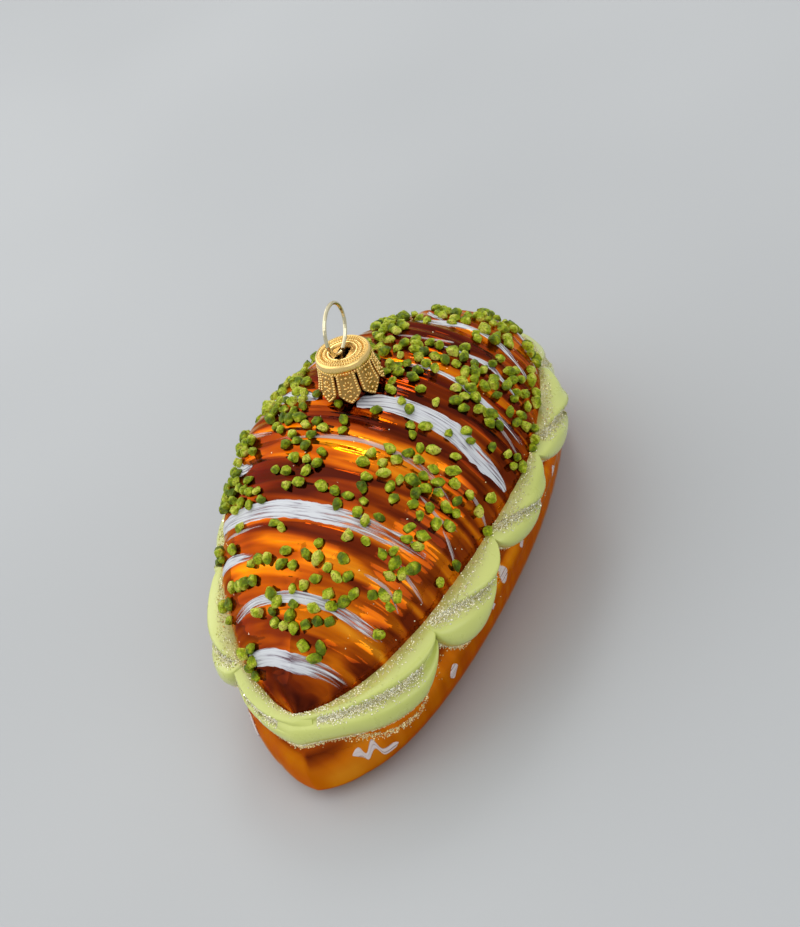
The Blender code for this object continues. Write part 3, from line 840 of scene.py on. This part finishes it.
def lobeGlitter(dice, lobe):
    length = (beltPoint(lobe["from"], 0.5) - beltPoint(lobe["to"], 0.5)).length
    counts = {place: int(length * density) for place, density in glitter["perMillimetre"].items()}
    spots = []
    for index in range(counts["crease"]):
        share = dice.uniform(*lobe.get("glittered", creamLobe["glittered"]))
        across = lobeCrease(lobe, share) + dice.gauss(0.01, glitter["creaseSpread"])
        spots.append(lobeSpot(dice, lobe, share, max(0.03, min(0.97, across)), (0.0, 0.45)))
    for index in range(counts["foot"]):
        share = dice.random() ** 1.2 * 0.86
        across = abs(dice.gauss(0.0, glitter["footSpread"])) + 0.004
        spots.append(lobeSpot(dice, lobe, share, across, (0.1, 0.7)))
    for index in range(counts["rim"]):
        share = dice.uniform(0.02, 0.98)
        across = 1.0 - abs(dice.gauss(0.015, glitter["rimSpread"]))
        spots.append(lobeSpot(dice, lobe, share, across, (0.1, 0.6)))
    for index in range(counts["hull"]):
        share = dice.random() ** 1.2 * 0.90
        foot = creamLobe["top"] - (creamLobe["top"] - lobe["hang"]) * lobeReach(lobe, share)
        level = foot - abs(dice.gauss(0.0, glitter["hullSpread"])) + 0.04
        turn = mixed(lobe["from"], lobe["to"], share)
        spots.append(glassSpot(dice, turn, level, (0.0, 1.0), (0.03, 0.05), (0.5, 1.0)))
    for index in range(0 if "openStart" in lobe else glitter["notch"]):
        turn = lobe["from"] + dice.gauss(0.0, glitter["notchTurn"])
        level = dice.gauss(0.18, glitter["notchSpread"])
        spots.append(glassSpot(dice, turn, level, (0.055, 0.9), (0.05, 0.1), (0.4, 1.0)))
    return spots


def glitterSpots():
    dice = random.Random(93)
    spots = []
    for lobe in rightLobes + leftLobes:
        spots += lobeGlitter(dice, lobe)
    for index in range(glitter["domeSpecks"]):
        angle = dice.uniform(-85.0, 85.0)
        y = dice.uniform(-50.0, 50.0)
        point = domePoint(angle, y, 0.03)
        spots.append(glitterSpot(dice, point, domeNormal(angle, y), dice.uniform(0.0, 0.8)))
    print("glitter chips:", len(spots))
    return spots


# Gold cap: a stamped crown with rings of ticks, and beaded petals that flare over the neck
cap = {
    "place": Vector((0.3, 2.4, 46.0)),
    "lean": (math.radians(5.5), math.radians(-3.5)),
    "top": 8.9,
    "radius": 5.4,
    "collar": 1.9,
    "corner": 0.55,
    "dishEdge": 4.85,
    "dishDepth": 0.5,
    "slot": (2.1, 1.1),
    "slotDepth": 2.6,
    "tickRings": ((3.15, 3.95, 46), (4.1, 4.85, 58)),
    "tickDepth": 0.17,
    "petals": 8,
    "turn": -68.0,
    "slit": 4.4,
    "flare": 0.95,
    "petalLength": 6.2,
    "petalTaper": 2.2,
    "petalWall": 0.35,
    "beadRadius": 0.29,
    # radius and height of each ring of beads, how many and how large
    "beadRings": ((4.45, 8.86, 54, 0.19), (3.40, 8.86, 42, 0.17), (5.40, 7.12, 62, 0.22)),
    "border": 0.83,
}
capFrame = (Matrix.Translation(cap["place"]) @ Matrix.Rotation(cap["lean"][0], 4, "Y")
            @ Matrix.Rotation(cap["lean"][1], 4, "X"))


def capPoint(radius, turn, height):
    return capFrame @ Vector((radius * math.cos(turn), radius * math.sin(turn), height))


def crownProfile():
    radius, top, corner = cap["radius"], cap["top"], cap["corner"]
    outer = [(radius, top - cap["collar"] - 0.25)]
    outer += [(radius + 0.06 * math.sin(math.pi * step / 4), top - mixed(cap["collar"], corner, step / 4))
              for step in range(5)]
    turned = [(radius - corner * (1.0 - math.cos(0.5 * math.pi * step / 5)),
               top - corner * (1.0 - math.sin(0.5 * math.pi * step / 5))) for step in range(1, 6)]
    inward = [(cap["dishEdge"] - 0.1 * step, top) for step in range(49)]
    return outer + turned + inward


def crownDrop(radius, turn):
    drop = cap["dishDepth"] * smooth(2.75, 2.25, radius)
    for inner, outer, count in cap["tickRings"]:
        if inner - 0.05 < radius < outer + 0.05:
            ring = smooth(inner - 0.05, inner + 0.15, radius) * smooth(outer + 0.05, outer - 0.15, radius)
            drop += cap["tickDepth"] * (1.0 - ring * (0.5 + 0.5 * math.cos(count * turn)) ** 0.7)
    if 2.95 < radius < 3.2 or 3.9 < radius < 4.15:
        drop += 0.08
    across = (radius * math.cos(turn) / cap["slot"][1]) ** 4
    along = (radius * math.sin(turn) / cap["slot"][0]) ** 4
    return drop + cap["slotDepth"] * smooth(1.25, 0.8, across + along)


def buildCrown():
    profile = crownProfile()
    raised = []

    def place(u, v):
        turn = 2.0 * math.pi * u
        radius, height = profile[round(v * (len(profile) - 1))]
        drop = crownDrop(radius, turn) if radius < cap["radius"] - 0.5 else 0.0
        # painted shade: the deeper the metal is sunk, the darker it is coloured, and near-black inside the
        # slot
        raised.append(max(0.0, 1.0 - 4.0 * drop) if drop < 1.0 else -1.0)
        return inPlace(capPoint(radius, turn, height - drop))

    crown = gridPiece("cap_crown", 276, len(profile) - 1, place)
    valueLayer(crown, "raised", raised)
    return closeUp(crown, angle=60.0)


def petalPoint(petal, across, share, lift=0.0):
    halfWidth = 180.0 / cap["petals"] - 0.5 * cap["slit"]
    turn = math.radians(cap["turn"] + 360.0 / cap["petals"] * petal + across * halfWidth)
    reach = cap["petalLength"] - cap["petalTaper"] * abs(across) ** 1.3
    radius = cap["radius"] - 0.03 + cap["flare"] * max(0.0, share) ** 1.5 + lift
    height = cap["top"] - cap["collar"] - share * reach
    return capPoint(radius, turn, height)


def buildPetals():
    petals = []
    for petal in range(cap["petals"]):
        def place(u, v):
            return inPlace(petalPoint(petal, 2.0 * u - 1.0, mixed(-0.03, 1.0, v)))

        leaf = gridPiece("cap_petal", 16, 20, place)
        thicken(leaf, cap["petalWall"], 1.0)
        valueLayer(leaf, "raised", [0.12] * len(leaf.data.vertices))
        petals.append(closeUp(leaf, angle=50.0))
    return petals


def petalBeads(petal):
    border = cap["border"]
    side = [(share, border) for share in (0.06, 0.17, 0.28, 0.40, 0.52, 0.64, 0.76, 0.87)]
    beads = [(across * sign, share, 1.0, 1.0) for share, across in side for sign in (-1.0, 1.0)]
    beads += [(across * sign, 0.93, 0.95, 0.95) for across in (0.60, 0.38, 0.17) for sign in (-1.0, 1.0)]
    beads.append((0.0, 0.95, 1.05, 1.05))
    beads += [(0.0, 0.46, 0.8, 0.8), (0.0, 0.14, 1.1, 1.1), (0.0, 0.77, 1.25, 1.25)]
    beads += [(0.42 * sign, 0.16, 0.75, 0.75) for sign in (-1.0, 1.0)]
    beads += [(0.40 * sign, 0.74, 0.7, 0.7) for sign in (-1.0, 1.0)]
    for index in range(8):    # the flower round the middle bead
        turn = math.radians(45.0 * index + 22.5)
        beads.append((0.33 * math.cos(turn), 0.46 + 0.155 * math.sin(turn), 0.62, 1.35))
    return beads


def buildBeads():
    deselectAll()
    bpy.ops.mesh.primitive_uv_sphere_add(segments=8, ring_count=6, radius=1.0)
    shape = readShape(bpy.context.active_object)
    spots = []
    for petal in range(cap["petals"]):
        for across, share, wide, long in petalBeads(petal):
            point = petalPoint(petal, across, share)
            beside = petalPoint(petal, across + 0.02, share) - point
            normal = (petalPoint(petal, across, share, 1.0) - point).normalized()
            spin = 0.0
            if long > 1.1 > wide:    # the flower's petals point away from its middle
                spin = math.atan2((share - 0.46) * 5.6, across * 2.05) - math.radians(90.0)
            sideways = beside.normalized()
            upwards = normal.cross(sideways).normalized()
            turned = Matrix((sideways, upwards, normal)).transposed().to_4x4()
            size = cap["beadRadius"]
            spots.append((Matrix.Translation(point) @ turned @ Matrix.Rotation(-spin, 4, "Z")
                          @ Matrix.Diagonal((size * wide, size * long, size * 0.9, 1.0)), 0, 1.0))
    for radius, height, count, size in cap["beadRings"]:
        for index in range(count):
            turn = 2.0 * math.pi * index / count
            place = Matrix.Translation(capPoint(radius, turn, height))
            spots.append((place @ Matrix.Scale(size, 4), 0, 1.0))
    return strewnMesh("cap_beads", [shape], spots, "raised", 60.0)


def buildCap(material):
    crown = buildCrown()
    piece = joinPieces([crown] + buildPetals() + [buildBeads()], "stamped_gold_cap")
    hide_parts("hanger_cap")
    return finishPiece(piece, material)


# Glass neck that the cap sits on
neck = {"profile": ((4.9, -1.6), (4.6, 0.2), (4.25, 1.1), (3.85, 1.8), (3.8, 4.0), (3.8, 7.7), (3.6, 8.05),
                    (3.1, 8.1), (2.75, 7.9), (2.6, 7.4), (2.6, 1.2), (2.2, 0.6), (0.0, 0.4))}


def buildNeck(material):
    profile = neck["profile"]

    def place(u, v):
        turn = 2.0 * math.pi * u
        radius, height = profile[round(v * (len(profile) - 1))]
        return inPlace(capPoint(radius, turn, height))

    piece = gridPiece("glass_neck", 64, len(profile) - 1, place)
    closeUp(piece, fillEdges=True, angle=50.0)
    valueLayer(piece, "tone", [0.75] * len(piece.data.vertices))
    vectorLayer(piece, "flow", [vertex.co / mm for vertex in piece.data.vertices])
    return finishPiece(piece, material)


# Materials
def addNode(tree, kind, inputs=None, **settings):
    node = tree.nodes.new(kind)
    for key, value in settings.items():
        setattr(node, key, value)
    for key, value in (inputs or {}).items():
        if isinstance(value, bpy.types.NodeSocket):
            tree.links.new(value, node.inputs[key])
        else:
            node.inputs[key].default_value = value
    return node


def maths(tree, operation, first, second, clamp=False):
    node = addNode(tree, "ShaderNodeMath", {0: first, 1: second}, operation=operation, use_clamp=clamp)
    return node.outputs[0]


def plus(tree, first, second, clamp=False):
    return maths(tree, "ADD", first, second, clamp)


def times(tree, first, second, clamp=False):
    return maths(tree, "MULTIPLY", first, second, clamp)


# How far a value lies above a middle one, made larger or smaller
def swing(tree, value, middle, amount, clamp=False):
    return times(tree, maths(tree, "SUBTRACT", value, middle), amount, clamp)


def ramp(tree, factor, stops):
    node = addNode(tree, "ShaderNodeValToRGB", {"Fac": factor})
    elements = node.color_ramp.elements
    while len(elements) < len(stops):
        elements.new(0.5)
    for element, (place, colour) in zip(elements, stops):
        element.position = place
        element.color = (*colour, 1.0)
    return node.outputs["Color"]


def ranged(tree, value, fromLow, fromHigh, toLow, toHigh):
    node = addNode(tree, "ShaderNodeMapRange", {"Value": value, "From Min": fromLow, "From Max": fromHigh,
                                               "To Min": toLow, "To Max": toHigh})
    return node.outputs["Result"]


def attributeOf(tree, name, output="Fac"):
    return addNode(tree, "ShaderNodeAttribute", attribute_name=name).outputs[output]


def mixColours(tree, factor, first, second):
    node = addNode(tree, "ShaderNodeMix", data_type="RGBA", blend_type="MIX")
    for socket, value in ((node.inputs[0], factor), (node.inputs[6], first), (node.inputs[7], second)):
        if isinstance(value, bpy.types.NodeSocket):
            tree.links.new(value, socket)
        else:
            socket.default_value = value
    return node.outputs[2]


def newMaterial(name, **plain):
    material = bpy.data.materials.new(name)
    material.use_nodes = True
    shader = material.node_tree.nodes["Principled BSDF"]
    for key, value in plain.items():
        shader.inputs[key.replace("_", " ")].default_value = value
    return material, material.node_tree, shader


def feed(tree, shader, **sockets):
    for key, value in sockets.items():
        tree.links.new(value, shader.inputs[key.replace("_", " ")])


def bumped(tree, shader, height, strength, distance):
    bump = addNode(tree, "ShaderNodeBump", {"Height": height, "Strength": strength, "Distance": distance})
    feed(tree, shader, Normal=bump.outputs["Normal"])


def newGroup(name, inputs, outputs):
    tree = bpy.data.node_groups.new(name, "ShaderNodeTree")
    for socket in inputs:
        kind = "NodeSocketVector" if socket == "Vector" else "NodeSocketFloat"
        tree.interface.new_socket(socket, in_out="INPUT", socket_type=kind)
    for socket in outputs:
        tree.interface.new_socket(socket, in_out="OUTPUT", socket_type="NodeSocketFloat")
    return tree, addNode(tree, "NodeGroupInput"), addNode(tree, "NodeGroupOutput")


def grain(tree, vector, scale, detail, low, high):
    node = addNode(tree, "ShaderNodeTexNoise", {"Vector": vector, "Scale": scale, "Detail": detail,
                                               "Roughness": 0.55})
    return ranged(tree, node.outputs["Fac"], low, high, 0.0, 1.0)


# Streaks drawn out along one way of the vector: the bristle marks of the brush strokes, and on the lacquer
# partly painted reflection along the pleats
def streakGroup():
    tree, entry, leave = newGroup("brushAndReflectionStreaks", ("Vector", "First Scale", "Second Scale", "Detail"),
                                  ("Streaks",))
    split = addNode(tree, "ShaderNodeSeparateXYZ", {0: entry.outputs["Vector"]})
    first = times(tree, split.outputs["X"], entry.outputs["First Scale"])
    second = times(tree, split.outputs["Y"], entry.outputs["Second Scale"])
    drawn = addNode(tree, "ShaderNodeCombineXYZ", {"X": first, "Y": second, "Z": split.outputs["Z"]})
    spread = grain(tree, drawn.outputs[0], 1.0, entry.outputs["Detail"], 0.30, 0.70)
    tree.links.new(spread, leave.inputs["Streaks"])
    return tree


# Uneven patches over a surface, coarse and fine
def patchGroup():
    tree, entry, leave = newGroup("unevenPatches", ("Vector", "Scale"), ("Coarse", "Fine"))
    for name, finer, detail in (("Coarse", 1.0, 2.0), ("Fine", 6.0, 4.0)):
        scale = times(tree, entry.outputs["Scale"], finer)
        patch = grain(tree, entry.outputs["Vector"], scale, detail, 0.32, 0.68)
        tree.links.new(patch, leave.inputs[name])
    return tree


streakTree = streakGroup()
patchTree = patchGroup()


def streaks(tree, vector, firstScale, secondScale, detail):
    inputs = {"Vector": vector, "First Scale": firstScale, "Second Scale": secondScale, "Detail": detail}
    return addNode(tree, "ShaderNodeGroup", inputs, node_tree=streakTree).outputs["Streaks"]


def patches(tree, scale):
    place = addNode(tree, "ShaderNodeTexCoord").outputs["Object"]
    node = addNode(tree, "ShaderNodeGroup", {"Vector": place, "Scale": scale}, node_tree=patchTree)
    return node.outputs["Coarse"], node.outputs["Fine"]


def makeLacquer():
    material, tree, shader = newMaterial("amberLacquer", Metallic=1.0, Coat_Weight=0.08,
                                          Coat_Roughness=0.03, Specular_Tint=(1.0, 0.5, 0.12, 1.0))
    flow = attributeOf(tree, "flow", "Vector")
    zone = addNode(tree, "ShaderNodeSeparateXYZ", {0: flow}).outputs["Z"]
    streakAmount = ranged(tree, zone, 0.0, 10.0, 0.22, 1.0)    # the lower bun's colour is the smoother one
    # The streaks and patches darken and brighten the lacquer along the pleats. This is partly uneven
    # lacquer and partly painted reflection of pleats catching and missing the light
    fine = streaks(tree, flow, 0.95, 0.05, 1.2)
    broad = swing(tree, streaks(tree, flow, 0.36, 0.032, 0.8), 0.26, 2.3, clamp=True)
    coarse, speckle = patches(tree, 90.0)
    drift = plus(tree, swing(tree, fine, 0.5, 0.16), swing(tree, broad, 0.5, 0.44))
    drift = plus(tree, drift, swing(tree, coarse, 0.5, 0.14))
    # How dark the lacquer is painted, from the tone and the streaks, which carry painted reflection and
    # shade
    depth = plus(tree, attributeOf(tree, "tone"), times(tree, drift, streakAmount), clamp=True)
    colour = ramp(tree, depth, (
        (0.0, (0.98, 0.345, 0.014)), (0.22, (0.77, 0.190, 0.003)), (0.45, (0.44, 0.074, 0.002)),
        (0.70, (0.19, 0.022, 0.002)), (1.0, (0.070, 0.007, 0.002))))
    rough = ranged(tree, times(tree, fine, streakAmount), 0.0, 1.0, 0.03, 0.07)
    feed(tree, shader, Base_Color=colour, Roughness=rough)
    relief = plus(tree, times(tree, fine, 0.6), times(tree, broad, 2.0))
    relief = plus(tree, relief, times(tree, speckle, 0.12))
    bumped(tree, shader, times(tree, relief, streakAmount), 0.6, 0.00020)
    return material


def makeCream():
    material, tree, shader = newMaterial("pistachioLacquer", Metallic=0.0, Coat_Weight=0.5,
                                          Coat_Roughness=0.12)
    coarse, fine = patches(tree, 60.0)
    green = ramp(tree, coarse, ((0.0, (0.55, 0.61, 0.14)), (1.0, (0.63, 0.68, 0.185))))
    glue = times(tree, attributeOf(tree, "glue"), 0.7)
    glued = mixColours(tree, glue, green, (0.43, 0.37, 0.13, 1.0))
    feed(tree, shader, Base_Color=glued, Roughness=ranged(tree, fine, 0.0, 1.0, 0.24, 0.40))
    bumped(tree, shader, coarse, 0.15, 0.0002)
    return material


def makePaint(name, dark, light, most):
    material, tree, shader = newMaterial(name, Metallic=0.0, Coat_Weight=0.15)
    brush = attributeOf(tree, "brush", "Vector")
    bristles = streaks(tree, brush, 0.12, 2.6, 3.0)
    loaded = swing(tree, attributeOf(tree, "cover"), 0.66, 0.34)
    colour = ramp(tree, plus(tree, bristles, loaded, clamp=True), ((0.10, dark), (0.68, light)))
    covered = plus(tree, bristles, times(tree, attributeOf(tree, "cover"), 1.05))
    covered = times(tree, swing(tree, covered, 0.93, 2.3, clamp=True), most)
    rough = ranged(tree, bristles, 0.0, 1.0, 0.5, 0.3)
    feed(tree, shader, Base_Color=colour, Alpha=covered, Roughness=rough)
    bumped(tree, shader, bristles, 0.5, 0.00012)
    return material


def makeNut():
    material, tree, shader = newMaterial("pistachioCrumb", Metallic=0.0, Coat_Weight=0.10,
                                          Coat_Roughness=0.22, Specular_IOR_Level=0.2)
    coarse, fine = patches(tree, 480.0)
    shade = plus(tree, times(tree, attributeOf(tree, "tint"), 0.34), times(tree, coarse, 0.66))
    green = ramp(tree, shade, (
        (0.0, (0.045, 0.095, 0.001)), (0.30, (0.17, 0.26, 0.002)), (0.55, (0.45, 0.57, 0.006)),
        (0.76, (0.76, 0.82, 0.09)), (1.0, (0.80, 0.68, 0.14))))
    husk = swing(tree, fine, 0.55, 1.8, clamp=True)
    brown = mixColours(tree, husk, green, (0.20, 0.15, 0.008, 1.0))
    feed(tree, shader, Base_Color=brown, Roughness=ranged(tree, fine, 0.0, 1.0, 0.42, 0.7))
    bumped(tree, shader, plus(tree, fine, coarse), 0.8, 0.0004)
    return material


def makeGlitter():
    material, tree, shader = newMaterial("champagneGlitter", Metallic=1.0)
    coarse, fine = patches(tree, 900.0)
    shade = plus(tree, attributeOf(tree, "tint"), swing(tree, coarse, 0.5, 0.2), clamp=True)
    colour = ramp(tree, shade, (
        (0.0, (0.90, 0.89, 0.74)), (0.5, (0.86, 0.78, 0.48)), (1.0, (0.83, 0.58, 0.20))))
    feed(tree, shader, Base_Color=colour, Roughness=ranged(tree, fine, 0.0, 1.0, 0.18, 0.34))
    return material


def makeGold(name, ground, metal, roughness):
    material, tree, shader = newMaterial(name, Metallic=1.0)
    coarse, fine = patches(tree, 350.0)
    # On the cap the colour follows the raised value: bright gold on the tops and beads, darker in the dish
    # and tick grooves and on the petals, near-black in the slot. The darkening of the sunk parts and the
    # slot is painted shade; on the wire it is an uneven tone
    raised = attributeOf(tree, "raised") if name == "stampedGold" else coarse
    height = ranged(tree, raised, -1.0, 1.0, 0.0, 1.0)
    colour = ramp(tree, height, ((0.05, (0.02, 0.012, 0.005)), (0.45, ground), (1.0, metal)))
    rough = ranged(tree, fine, 0.0, 1.0, roughness - 0.05, roughness + 0.08)
    feed(tree, shader, Base_Color=colour, Roughness=rough)
    bumped(tree, shader, fine, 0.15, 0.00005)
    return material


def makeFloor():
    material, tree, shader = newMaterial("paleFloor", Roughness=0.85)
    coarse, fine = patches(tree, 4.0)
    colour = ramp(tree, coarse, ((0.0, (0.43, 0.445, 0.455)), (1.0, (0.48, 0.495, 0.505))))
    feed(tree, shader, Base_Color=colour)
    return material


lacquer = makeLacquer()
creamPaint = makeCream()
whitePaint = makePaint("whitePaint", (0.23, 0.19, 0.26), (0.65, 0.67, 0.70), 1.0)
washPaint = makePaint("whiteWash", (0.40, 0.30, 0.28), (0.66, 0.58, 0.56), 0.6)
dabPaint = makePaint("pinkishDab", (0.50, 0.40, 0.38), (0.74, 0.64, 0.62), 0.9)
nutGreen = makeNut()
glitterFoil = makeGlitter()
capGold = makeGold("stampedGold", (0.43, 0.22, 0.045), (1.0, 0.71, 0.26), 0.22)
wireGold = makeGold("paleWireGold", (0.74, 0.66, 0.42), (0.82, 0.75, 0.52), 0.20)
print("materials made")

buildShell(lacquer)
buildNeck(lacquer)
print("glass made")

for side, lobes in (("right", rightLobes), ("left", leftLobes)):
    for number, lobe in enumerate(lobes, 1):
        buildLobe(f"cream_lobe_{side}_{number}", lobe, creamPaint)
print("cream made")

for number, band in enumerate(whiteBands, 1):
    buildStroke(f"white_stroke_{number}", band["path"], band["dry"], domePoint, 1.0, whitePaint, number)
for number, path in enumerate(washStrokes, 1):
    buildStroke(f"thin_stroke_{number}", path, (0.5, 0.5), domePoint, 1.0, washPaint, 40 + number)
for number, path in enumerate(dabs, 1):
    name = f"lower_dab_{number}"
    buildStroke(name, path, (0.0, 0.0), flankPoint, 1.0 / flankHeight, dabPaint, 70 + number)
print("strokes made")

chips = [chipShape(seed) for seed in range(nutCrumb["shapes"])]
crumbs = strewnMesh("pistachio_crumbs", chips, crumbSpots(), "tint", 25.0)
finishPiece(crumbs, nutGreen)
foil = strewnMesh("glitter_chips", [glitterShape()], glitterSpots(), "tint", 30.0)
finishPiece(foil, glitterFoil)
print("crumbs and glitter made")

buildCap(capGold)
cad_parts["hanger_ring"].data.materials.clear()
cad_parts["hanger_ring"].data.materials.append(wireGold)
print("cap made")

# Floor, lights and camera
deselectAll()
bpy.ops.mesh.primitive_plane_add(size=6.0, location=(0.0, 0.0, 0.0))
floor = bpy.context.active_object
floor.name = "floor"
floor.data.materials.append(makeFloor())

studio = {
    "key": {"place": (-0.50, -0.02, 0.46), "size": 1.2, "power": 2.0, "colour": (1.0, 0.99, 0.97)},
    "fill": {"place": (0.72, -0.40, 0.66), "size": 1.0, "power": 2.2, "colour": (0.95, 0.97, 1.0)},
    "back": {"place": (-0.20, 0.58, 0.62), "size": 0.26, "power": 1.1, "colour": (0.98, 0.99, 1.0)},
    "bright": (1.0, 1.0, 1.0),      # the room's own light, and the way in which it is brightest
    "dim": (0.46, 0.47, 0.475),
    "brightWay": (-0.55, 0.10, 0.83),
    "roomStrength": 0.95,
}


def addLight(name, place, size, power, colour):
    deselectAll()
    bpy.ops.object.light_add(type="AREA", location=place)
    light = bpy.context.active_object
    light.name = name
    light.data.shape = "DISK"
    light.data.size = size
    light.data.energy = power
    light.data.color = colour
    aim = Vector((0.0, 0.0, 0.025)) - Vector(place)
    light.rotation_euler = aim.to_track_quat("-Z", "Y").to_euler()


for name in ("key", "fill", "back"):
    addLight(name + "_light", **studio[name])

world = bpy.data.worlds.new("softRoom")
world.use_nodes = True
room = world.node_tree
way = addNode(room, "ShaderNodeTexCoord").outputs["Generated"]
facing = addNode(room, "ShaderNodeVectorMath", {0: way, 1: studio["brightWay"]}, operation="DOT_PRODUCT")
brightness = ranged(room, facing.outputs["Value"], -0.4, 1.0, 0.0, 1.0)
shade = ramp(room, brightness, ((0.0, studio["dim"]), (1.0, studio["bright"])))
room.links.new(shade, room.nodes["Background"].inputs["Color"])
room.nodes["Background"].inputs["Strength"].default_value = studio["roomStrength"]
bpy.context.scene.world = world
bpy.context.scene.view_settings.view_transform = "Standard"

viewpoint = {"target": Vector((-8.64, 19.64, 11.0)), "azimuth": 36.1, "elevation": 37.24, "roll": -25.2,
             "distance": 350.0, "lens": 63.62}
azimuth = math.radians(viewpoint["azimuth"])
elevation = math.radians(viewpoint["elevation"])
back = Vector((math.sin(azimuth) * math.cos(elevation), -math.cos(azimuth) * math.cos(elevation),
               math.sin(elevation)))
deselectAll()
bpy.ops.object.camera_add(location=(viewpoint["target"] + back * viewpoint["distance"]) * mm)
camera = bpy.context.active_object
camera.rotation_mode = "QUATERNION"
camera.rotation_quaternion = (back.to_track_quat("Z", "Y")
                              @ Quaternion((0.0, 0.0, 1.0), math.radians(viewpoint["roll"])))
camera.data.lens = viewpoint["lens"]
camera.data.clip_start = 0.01
bpy.context.scene.camera = camera
print("stage made")
